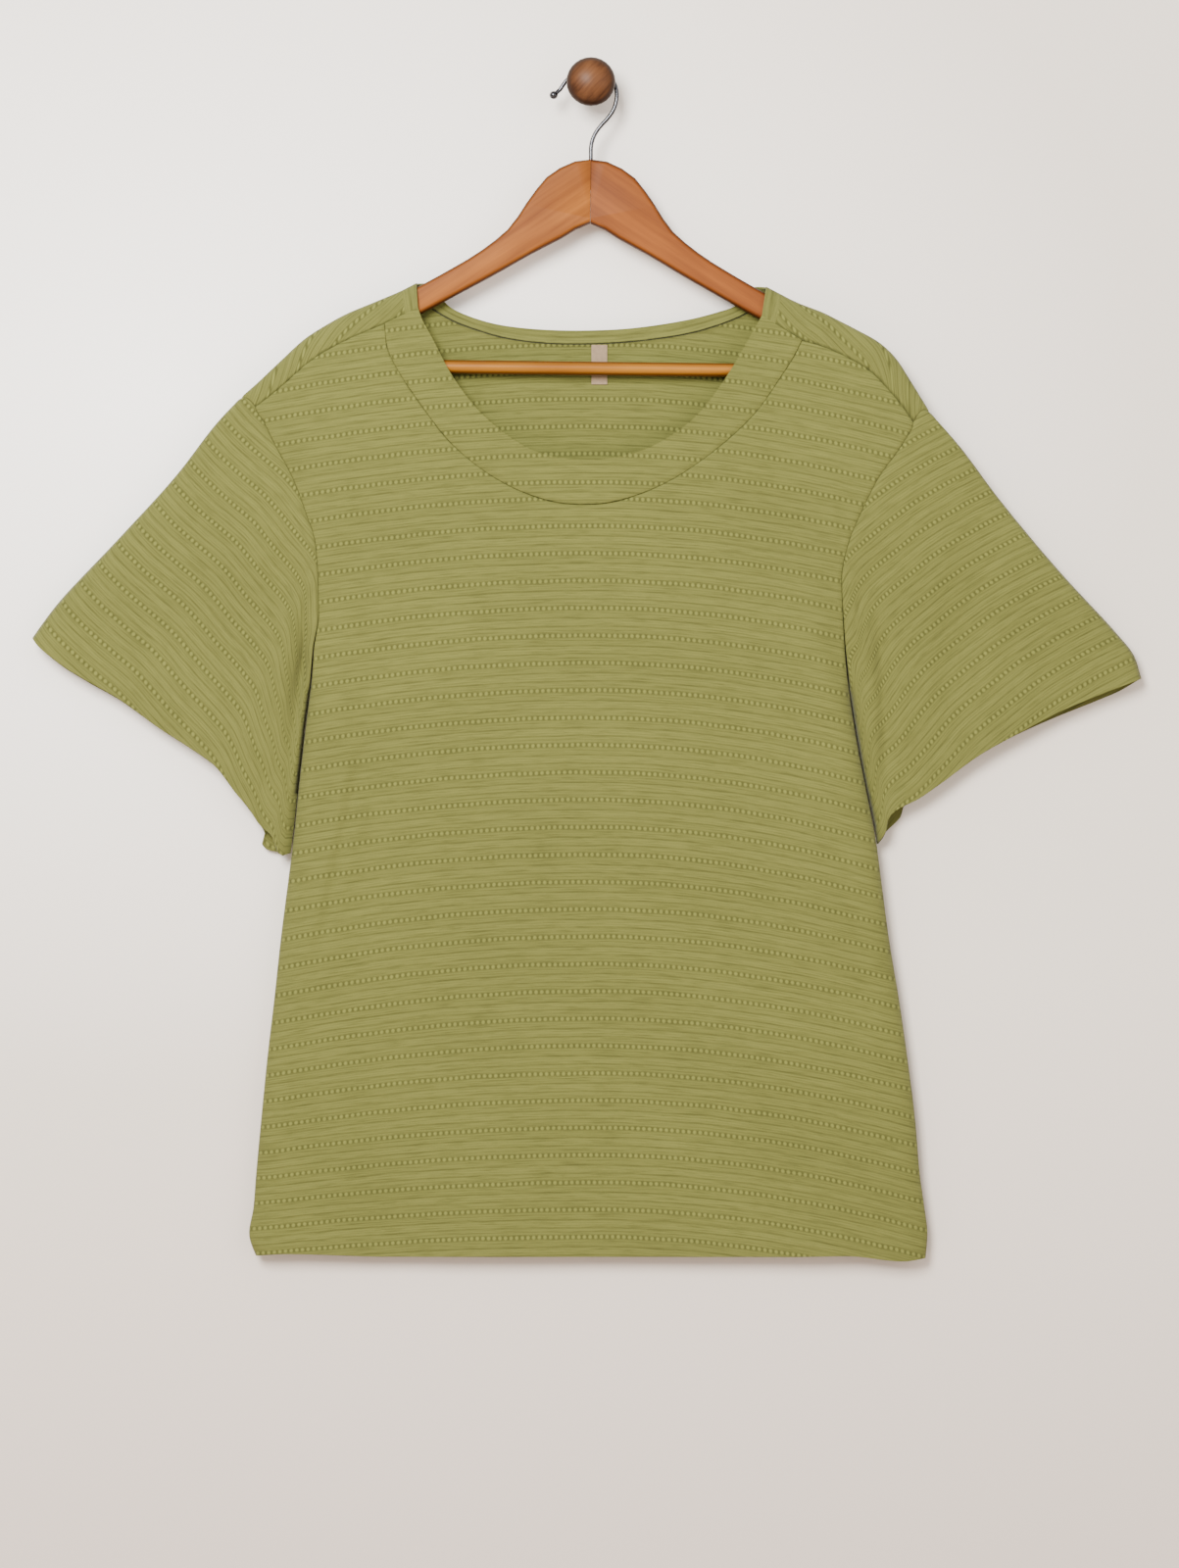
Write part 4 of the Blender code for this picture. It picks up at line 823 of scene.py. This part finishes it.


# %% [markdown]
# ## The knitted cloth
# The knit repeats every 19.5 mm down the cloth: a row of small raised stitches, 4 mm apart, then plain
# knitting crossed by fine sunken lines, two of them strong, with a lighter band between. Uneven streaks
# run along the rows, because each course of yarn takes the dye and the light a little differently.
# Painted shade darkens the hollow round each raised stitch, the grooves of the seams and a thin line
# along the hem and the cuffs. The material reads the flat pattern's UV map in millimetres and builds all
# of it from arithmetic nodes, as colour and as height for a bump.

# %% Small helpers for node trees
class Value:
    """A socket of a node tree that adds, multiplies and is clamped like a number."""

    def __init__(self, tree, socket):
        self.tree = tree
        self.socket = socket

    def clamped(self):
        """The same value, held between 0 and 1."""
        self.socket.node.use_clamp = True
        return self


OPERATIONS = {"add": "ADD", "radd": "ADD", "sub": "SUBTRACT", "mul": "MULTIPLY", "truediv": "DIVIDE",
              "pow": "POWER", "abs": "ABSOLUTE"}
for word, operation in OPERATIONS.items():
    def join(self, *other, operation=operation):
        return self.tree.math(operation, self, *other)

    setattr(Value, "__" + word + "__", join)
Value.__rsub__ = lambda self, other: self.tree.math("SUBTRACT", other, self)


class Tree:
    """Shorthand for adding and joining the nodes of one material."""

    def __init__(self, name):
        self.material = bpy.data.materials.new(name)
        self.material.use_nodes = True
        self.shader = self.material.node_tree.nodes["Principled BSDF"]

    def put(self, value, socket):
        if isinstance(value, Value):
            self.material.node_tree.links.new(value.socket, socket)
        else:
            socket.default_value = value

    def node(self, kind, inputs=(), output=0, **settings):
        """A new node with its settings and inputs, given back as one of its outputs."""
        node = self.material.node_tree.nodes.new("ShaderNode" + kind)
        for key, value in settings.items():
            setattr(node, key, value)
        for key, value in dict(inputs).items():
            self.put(value, node.inputs[key])
        return Value(self, node.outputs[output])

    def math(self, operation, *values):
        return self.node("Math", enumerate(values), operation=operation)

    def noise(self, vector, scale, detail=2, roughness=0.5):
        inputs = {"Vector": vector, "Scale": scale, "Detail": detail, "Roughness": roughness}
        return self.node("TexNoise", inputs, "Fac")

    def mapping(self, vector, scale, rotation=(0, 0, 0), location=(0, 0, 0)):
        inputs = {"Vector": vector, "Scale": scale, "Rotation": rotation, "Location": location}
        return self.node("Mapping", inputs)

    def stretched(self, vector, scale, detail, roughness):
        """Noise drawn out along the axes."""
        return self.noise(self.mapping(vector, scale), 1, detail, roughness)

    def part(self, vector, index):
        return self.node("SeparateXYZ", {0: vector}, index)

    def place(self):
        return self.node("TexCoord", output="Object")

    def ramp(self, value, low, high):
        """Colours from low to high, each given as a place and a colour."""
        result = self.node("ValToRGB", {0: value})
        for element, stop in zip(result.socket.node.color_ramp.elements, (low, high)):
            element.position, element.color = stop
        return result

    def mix(self, factor, a, b, blend="MIX"):
        return self.node("Mix", {0: factor, 6: a, 7: b}, 2, data_type="RGBA", blend_type=blend)

    def bump(self, height, strength, distance):
        inputs = {"Height": height, "Strength": strength, "Distance": distance}
        self.put(self.node("Bump", inputs), self.shader.inputs["Normal"])

    def finish(self, colour, roughness, **inputs):
        for key, value in dict(inputs, Base_Color=colour, Roughness=roughness).items():
            self.put(value, self.shader.inputs[key.replace("_", " ")])
        return self.material


def shade(red, green, blue):
    """A colour as a dyer's chart gives it, 0 to 255, turned linear."""
    def linear(value):
        value = value / 255.0
        return value / 12.92 if value <= 0.04045 else ((value + 0.055) / 1.055) ** 2.4
    return (linear(red), linear(green), linear(blue), 1)


# %% The knit's colour and relief
ROW_PITCH = 19.53
STITCH_PITCH = 4.03
FineLine = namedtuple("FineLine", "place half strength")
FINE_LINES = [
    FineLine(3.6, 0.75, 0.5),
    FineLine(5.3, 0.6, 0.3),
    FineLine(7.14, 1.1, 1),
    FineLine(9.2, 0.65, 0.35),
    FineLine(11, 0.65, 0.4),
    FineLine(12.95, 1, 0.9),
    FineLine(15.9, 0.75, 0.5),
]
OLIVE = shade(93, 94, 46)
OLIVE_LIGHT = shade(96, 97, 48)
OLIVE_DARK = shade(60, 61, 26)
OLIVE_STITCH = shade(107, 109, 54)
OLIVE_SHADOW = shade(34, 36, 12)


def make_knit():
    tree = Tree("olive_jacquard_knit")
    flat = tree.mapping(tree.node("UVMap", uv_map="knit"), (1000, 1000, 1000))
    across = tree.part(flat, 0)
    wander = (tree.noise(flat, 0.03) - 0.5) * 1.5
    along = tree.part(flat, 1) + wander
    row = along / ROW_PITCH
    within = tree.math("FRACT", row) * ROW_PITCH
    from_stitch = within - tree.math("GREATER_THAN", within, ROW_PITCH / 2) * ROW_PITCH
    offset = tree.math("FRACT", tree.math("FLOOR", row + 0.5) * 0.618)
    stitch = (tree.math("FRACT", across / STITCH_PITCH + offset) - 0.5) * STITCH_PITCH

    def line(place, half):
        return (1.0 - abs(within - (ROW_PITCH - place)) / half).clamped()

    away = tree.math("SQRT", abs(stitch / 1.7) ** 2.0 + abs(from_stitch / 1.75) ** 2)
    dots = ((1.0 - away) / 0.6).clamped()
    # Painted shade: the ring round each raised stitch is sunk in the bump and drawn darker as well.
    trough = ((1.0 - abs(from_stitch) / 2.6).clamped() * 1.5).clamped()
    shaded_ring = (trough - dots).clamped()
    broken = (tree.stretched(flat, (0.05, 0.6, 1), 3, 0.6) * 2.0 - 0.3).clamped()
    lines = sum(line(fine.place, fine.half) * fine.strength for fine in FINE_LINES) * broken
    band = (line(10, 3.6) * 1.4).clamped()
    streaks = tree.stretched(flat, (0.045, 0.85, 1), 4, 0.65)
    grain = tree.stretched(flat, (0.9, 1.6, 1), 3, 0.6)
    patches = tree.stretched(flat, (0.008, 0.012, 1), 2, 0.5)
    seam_shade_noise = tree.stretched(flat, (0.22, 0.22, 1), 2, 0.6)
    # Painted shade: the seam attribute darkens the knit in seam grooves and on a thin line at free edges.
    seam = tree.node("Attribute", output="Fac", attribute_name="seam")
    painted_seam_shade = (seam * 3.0 + (seam_shade_noise * 1.4 - 2.75)).clamped()
    colour = OLIVE
    for share, yarn in (
            (band, OLIVE_LIGHT),
            ((streaks * -2.7 + 1.42).clamped(), OLIVE_DARK),
            (lines * 0.82, OLIVE_DARK),
            (shaded_ring * 0.8, OLIVE_DARK),
            (dots * 0.64, OLIVE_STITCH),
            (painted_seam_shade * 0.72, OLIVE_SHADOW)):
        colour = tree.mix(share, colour, yarn)
    tone = (grain + patches) * 0.25 + 0.76
    tint = tree.node("CombineColor", {0: tone, 1: tone, 2: tone})
    colour = tree.mix(1, colour, tint, "MULTIPLY")
    course = tree.math("SINE", along * (2.0 * math.pi / 0.9))
    wale = tree.math("SINE", across * (2.0 * math.pi / 1.1))
    height = dots * 0.16 - lines * 0.22 - shaded_ring * 0.12 + band * 0.04 + streaks * 0.16 + grain * 0.08
    tree.bump(height + course * wale * 0.035, 0.7, 0.001)
    return tree.finish(colour, 0.86, Sheen_Weight=0.06, Sheen_Roughness=0.5, Specular_IOR_Level=0.12)


knit = make_knit()

# %% [markdown]
# ## Places on the flat pattern
# The rows of the real cloth are knitted straight, but the hung body bows them: they drop towards both
# sides. So a place on the body reads its row from its height plus that drop. Over the shoulder the rows
# run on along the cloth, which turns them steeply downhill in front of the ridge. On a sleeve they lie
# parallel to the cuff but rise at both folds, and on the neckband they nearly line up with the body.

# %% Rows of the body, band, binding and sleeves
Bow = namedtuple("Bow", "z left right")
BOWS = [
    Bow(-842, 2.0e-4, 6.0e-4),
    Bow(-740, 3.6e-4, 6.0e-4),
    Bow(-640, 4.6e-4, 6.6e-4),
    Bow(-545, 4.2e-4, 7.3e-4),
    Bow(-440, 4.3e-4, 6.8e-4),
    Bow(-320, 4.1e-4, 6.3e-4),
    Bow(-160, 4.4e-4, 6.3e-4),
]
BOW_AT = {key: column_table(BOWS, key, "z") for key in SIDES}
STITCH_ROW_Z = -433.65
BACK_SHIFT = 6.0
BAND_SHIFT = 8.0
BINDING_ROWS = (2.2, 11.2)


def body_flat(points, shift=0):
    """Places across and along the rows, in metres, of points on the front or back."""
    x, z = points[:, 0], points[:, 2]
    bow = np.where(x < 0, BOW_AT["left"](z), BOW_AT["right"](z))
    drop = bow * x ** 2
    return np.stack([x, z + drop - STITCH_ROW_Z + shift], axis=1) * MM


def back_flat(points):
    """The same for a column of the back, which runs on over the shoulder by its length."""
    rows = len(LOWER_STEPS) + len(UPPER_STEPS)
    flat = body_flat(points[:rows], BACK_SHIFT)
    if len(points) > rows:
        over = points[rows - 1:]
        steps = lengths_along(over)[1:] * MM
        flat = np.vstack([flat, np.stack([over[1:, 0] * MM, flat[-1, 1] + steps], axis=1)])
    return flat


ROW_TILT = {"left": 56, "right": 42.0}
CUFF_TO_ROW = 4.0
SLEEVE_HALF_GIRTH = 0.225


def sleeve_flat(columns, around, tilt):
    flat = []
    for column, t in zip(columns, around):
        steps = lengths_along(column)
        rows = steps[-1] - steps + CUFF_TO_ROW + tilt * abs(t - 1) ** 1.3
        flat.append(np.stack([np.full(len(column), t * SLEEVE_HALF_GIRTH), rows * MM], axis=1))
    return flat


# %% [markdown]
# ## The pieces, sewn together
# The pieces are laid in the order of sewing: the two large panels, the sleeves set into the armholes, the
# wide band round the front neckline and the narrow binding at the back. Each replaces the plain solid of
# the same piece, rides on the one rigid body of the part and carries its flat cut in a UV map.

# %% Front and back
CLOTH = 1.2
BAND_CLOTH = 2.1
BINDING_CLOTH = 1.5
front_sheet = front_columns()
front_away = side_distances(front_sheet, edge_distances(front_sheet, "high"))
front_panel = add_cloth("front_panel", front_sheet, [body_flat(c) for c in front_sheet], CLOTH,
                        front_away, edge_distances(front_sheet, "low"))
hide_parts("front")
back_sheet = back_columns()
back_away = side_distances(back_sheet, edge_distances(back_sheet, "high"))
back_panel = add_cloth("back_panel", back_sheet, [back_flat(c) for c in back_sheet], CLOTH,
                       back_away, edge_distances(back_sheet, "low"), flip=True)
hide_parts("back")

# %% Sleeves
sleeves = {}
for side in SIDES:
    columns, around = sleeve_columns(side)
    sleeves[side] = add_cloth(side + "_sleeve", columns, sleeve_flat(columns, around, ROW_TILT[side]), CLOTH,
                              edge_distances(columns, "low"), edge_distances(columns, "high"),
                              closed=2.0 * SLEEVE_HALF_GIRTH, flip=side == "right")
    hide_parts("sleeve_" + side)

# %% Neckband and binding
band_sheet = neckband_columns()
neckband = add_cloth("neckband", band_sheet, [body_flat(c, BAND_SHIFT) for c in band_sheet], BAND_CLOTH,
                     edge_distances(band_sheet, "high"), flip=True)
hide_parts("front_neckband")
binding_sheet = binding_columns()
along_binding = lengths_along(np.array(binding_sheet)[:, 0])
binding_rows = np.linspace(*BINDING_ROWS, len(BINDING_ACROSS))
binding_flat = [np.stack([np.full(len(binding_rows), way), binding_rows], axis=1) * MM
                for way in along_binding]
binding_away = edge_distances(binding_sheet, "high")
over_shoulder = 2 * ARCH_STEPS
for k in range(over_shoulder):
    binding_away[k] = binding_away[-1 - k] = np.full(len(binding_rows), NO_SEAM)
neck_binding = add_cloth("neck_binding", binding_sheet, binding_flat, BINDING_CLOTH, binding_away)
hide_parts("back_neck_binding")

# %% [markdown]
# ## Wood, wire and tape
# The hanger is two bent arms of beech glued at the middle, with a turned bar and a bright wire hook. Its
# solids are true to shape, so each is copied, its loose triangles are merged, and it gets smooth shading
# and a proper finish. The grain runs along each arm, as the arms are cut from straight boards. The colour
# is darker towards the ends of the arms, and painted shade darkens every edge that turns away from the
# front and the rim of the knob's dome. The knob is oiled, so its pores stay open and dark.

# %% Copy a solid as a finished piece
def finished_copy(node, name, material, smooth_angle=40):
    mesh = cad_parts[node].data.copy()
    mesh.materials.clear()
    mesh.materials.append(material)
    piece = add_object(name, mesh)
    pick(piece)
    bpy.ops.object.mode_set(mode="EDIT")
    bpy.ops.mesh.select_all(action="SELECT")
    bpy.ops.mesh.remove_doubles(threshold=0.00001)
    bpy.ops.object.mode_set(mode="OBJECT")
    bpy.ops.object.shade_smooth_by_angle(angle=math.radians(smooth_angle))
    bpy.ops.object.modifier_add(type="WEIGHTED_NORMAL")
    piece.modifiers[-1].weight = 100
    piece.modifiers[-1].keep_sharp = True
    bpy.ops.object.modifier_apply(modifier=piece.modifiers[-1].name)
    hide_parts(node)
    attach(piece, "root")
    return piece


# %% Varnished beech
def make_wood(name, light, dark, tilt=0, fine=1, gloss=0.5, darker_ends=0):
    tree = Tree(name)
    place = tree.mapping(tree.place(), (fine, fine, fine), rotation=(0, math.radians(tilt), 0))
    grain = tree.stretched(place, (6, 60, 130), 6, 0.62)
    pores = tree.stretched(place, (60, 700, 1500), 3, 0.6)
    cloud = tree.stretched(place, (14, 20, 24), 2, 0.5)
    colour = tree.ramp(grain * 0.7 + cloud * 0.35, (0.32, dark), (0.7, light))
    flecks = (pores * 3.0 - 1.75).clamped()
    colour = tree.mix(flecks * 0.45, colour, dark)
    # The colour is darker towards the ends of each arm, more so on the right arm.
    ends = (abs(tree.part(tree.place(), 0)) * 5.0 - 0.3).clamped()
    colour = tree.mix(ends * darker_ends, colour, dark)
    # Painted shade: colour turns deep brown where the surface turns from the front, on edges and the knob.
    facing = tree.part(tree.node("NewGeometry", output="Normal"), 1)
    rim = ((1.0 - abs(facing)) * 2.6).clamped()
    colour = tree.mix(rim * 0.9, colour, tuple(value * 0.45 for value in dark[:3]) + (1,))
    tree.bump(grain + pores * 0.4, 0.12, 0.0006)
    return tree.finish(colour, gloss, Specular_IOR_Level=0.1)


left_beech = make_wood("varnished_beech_left", shade(138, 82, 29), shade(88, 43, 11), 34, darker_ends=0.35)
right_beech = make_wood("varnished_beech_right", shade(130, 72, 22), shade(76, 34, 8), -34, darker_ends=0.9)
bar_beech = make_wood("varnished_beech_bar", shade(152, 101, 30), shade(108, 60, 13), gloss=0.35)
knob_oak = make_wood("oiled_knob_wood", shade(106, 68, 40), shade(50, 27, 14), 48, fine=2.6, gloss=0.4)
left_arm = finished_copy("hanger_arm_left", "left_arm", left_beech)
right_arm = finished_copy("hanger_arm_right", "right_arm", right_beech)
bar = finished_copy("hanger_bar", "bar", bar_beech, 35)

# %% Bright wire
def make_wire():
    tree = Tree("bright_wire")
    wear = tree.noise(tree.place(), 900, 3)
    tree.bump(wear, 0.05, 0.0002)
    # Painted shade: far darker than bright steel, standing for the dark side of the room the wire mirrors.
    colour = tree.ramp(wear, (0.3, (0.035, 0.035, 0.04, 1)), (0.7, (0.09, 0.09, 0.095, 1)))
    return tree.finish(colour, 0.16, Metallic=1)


hook = finished_copy("hanger_hook", "wire_hook", make_wire(), 60)

# %% The turned knob
knob = finished_copy("wall_knob", "turned_knob", knob_oak, 50)

# %% Label tape
def make_tape():
    tree = Tree("woven_label_tape")
    place = tree.place()
    thread = 2.0 * math.pi / 0.0006
    warp = tree.math("SINE", tree.part(place, 0) * thread)
    weft = tree.math("SINE", tree.part(place, 2) * thread)
    tree.bump(warp * weft, 0.25, 0.0001)
    colour = tree.ramp(tree.noise(place, 300), (0.3, shade(117, 96, 70)), (0.7, shade(126, 105, 79)))
    return tree.finish(colour, 0.7, Sheen_Weight=0.1)


label = finished_copy("label", "label_tape", make_tape(), 30)

for piece in (front_panel, back_panel, sleeves["left"], sleeves["right"], neckband, neck_binding):
    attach(piece, "root")

# %% [markdown]
# ## Room, light and camera
# A large soft window stands to the left and a little above, so shadows fall short and soft to the right
# on the pale wall, and a weaker one on the right keeps them open. The camera is level with the middle of
# the picture, 3.2 m away.

# %% Wall and floor
def make_wall_paint():
    tree = Tree("pale_wall")
    place = tree.place()
    # Painted light and shade: a pool of light up and left of the blouse's middle, darker and pinker low
    # down.
    spread = tree.mapping(place, (1.4, 0, 2), location=(0.44, 0, 0.44))
    glow = tree.node("TexGradient", {0: spread}, "Fac", gradient_type="SPHERICAL")
    low = (tree.part(place, 2) * -1.5 - 0.95).clamped()
    colour = tree.mix(glow, shade(211, 202, 190), shade(252, 249, 244))
    colour = tree.mix(low, colour, shade(188, 172, 162))
    tree.bump(tree.noise(place, 400, 3), 0.05, 0.0004)
    return tree.finish(colour, 0.9)


def stage_plane(name, size, centre, turn, material):
    bpy.ops.mesh.primitive_plane_add(size=1, location=(0, 0, 0))
    plane = bpy.context.object
    plane.name = name
    turned = Matrix.Translation(Vector(centre)) @ Euler(turn).to_matrix().to_4x4()
    plane.data.transform(turned @ Matrix.Diagonal((size[0], size[1], 1, 1)))
    plane.data.materials.append(material)


wall_paint = make_wall_paint()
stage_plane("wall", (8, 4), (0, 0.0004, 0.75), (math.radians(90), 0, 0), wall_paint)
stage_plane("floor", (8, 6), (0, -3, -1.25), (0, 0, 0), wall_paint)

# %% Lights
def add_window(name, place, aim, size, power, colour):
    light = bpy.data.lights.new(name, "AREA")
    light.shape = "RECTANGLE"
    light.size, light.size_y = size
    light.energy = power
    light.color = colour
    lamp = add_object(name, light)
    lamp.location = place
    lamp.rotation_euler = (Vector(aim) - Vector(place)).to_track_quat("-Z", "Y").to_euler()


add_window("window_left", (-0.8, -2.5, 0.6), (-0.02, 0, -0.4), (1, 1.2), 205, (1, 0.99, 0.97))
add_window("fill_right", (2.4, -2.6, 0.2), (0, 0, -0.5), (2.4, 2.4), 46, (1, 0.98, 0.96))
world = bpy.data.worlds.new("soft_room")
world.use_nodes = True
world.node_tree.nodes["Background"].inputs[0].default_value = (1, 0.985, 0.97, 1)
world.node_tree.nodes["Background"].inputs[1].default_value = 1.0
bpy.context.scene.world = world

# %% Camera
PICTURE_HEIGHT = 1.120
CAMERA_AWAY = 3.2
CLOTH_FACE = 0.02
SENSOR = 24.0
camera_data = bpy.data.cameras.new("camera")
camera_data.sensor_fit = "VERTICAL"
camera_data.sensor_height = SENSOR
camera_data.lens = (CAMERA_AWAY - CLOTH_FACE) * SENSOR / PICTURE_HEIGHT
camera = add_object("camera", camera_data)
camera.location = (-0.001, -CAMERA_AWAY, -0.5005)
camera.rotation_euler = (math.radians(90), 0, 0)
bpy.context.scene.camera = camera
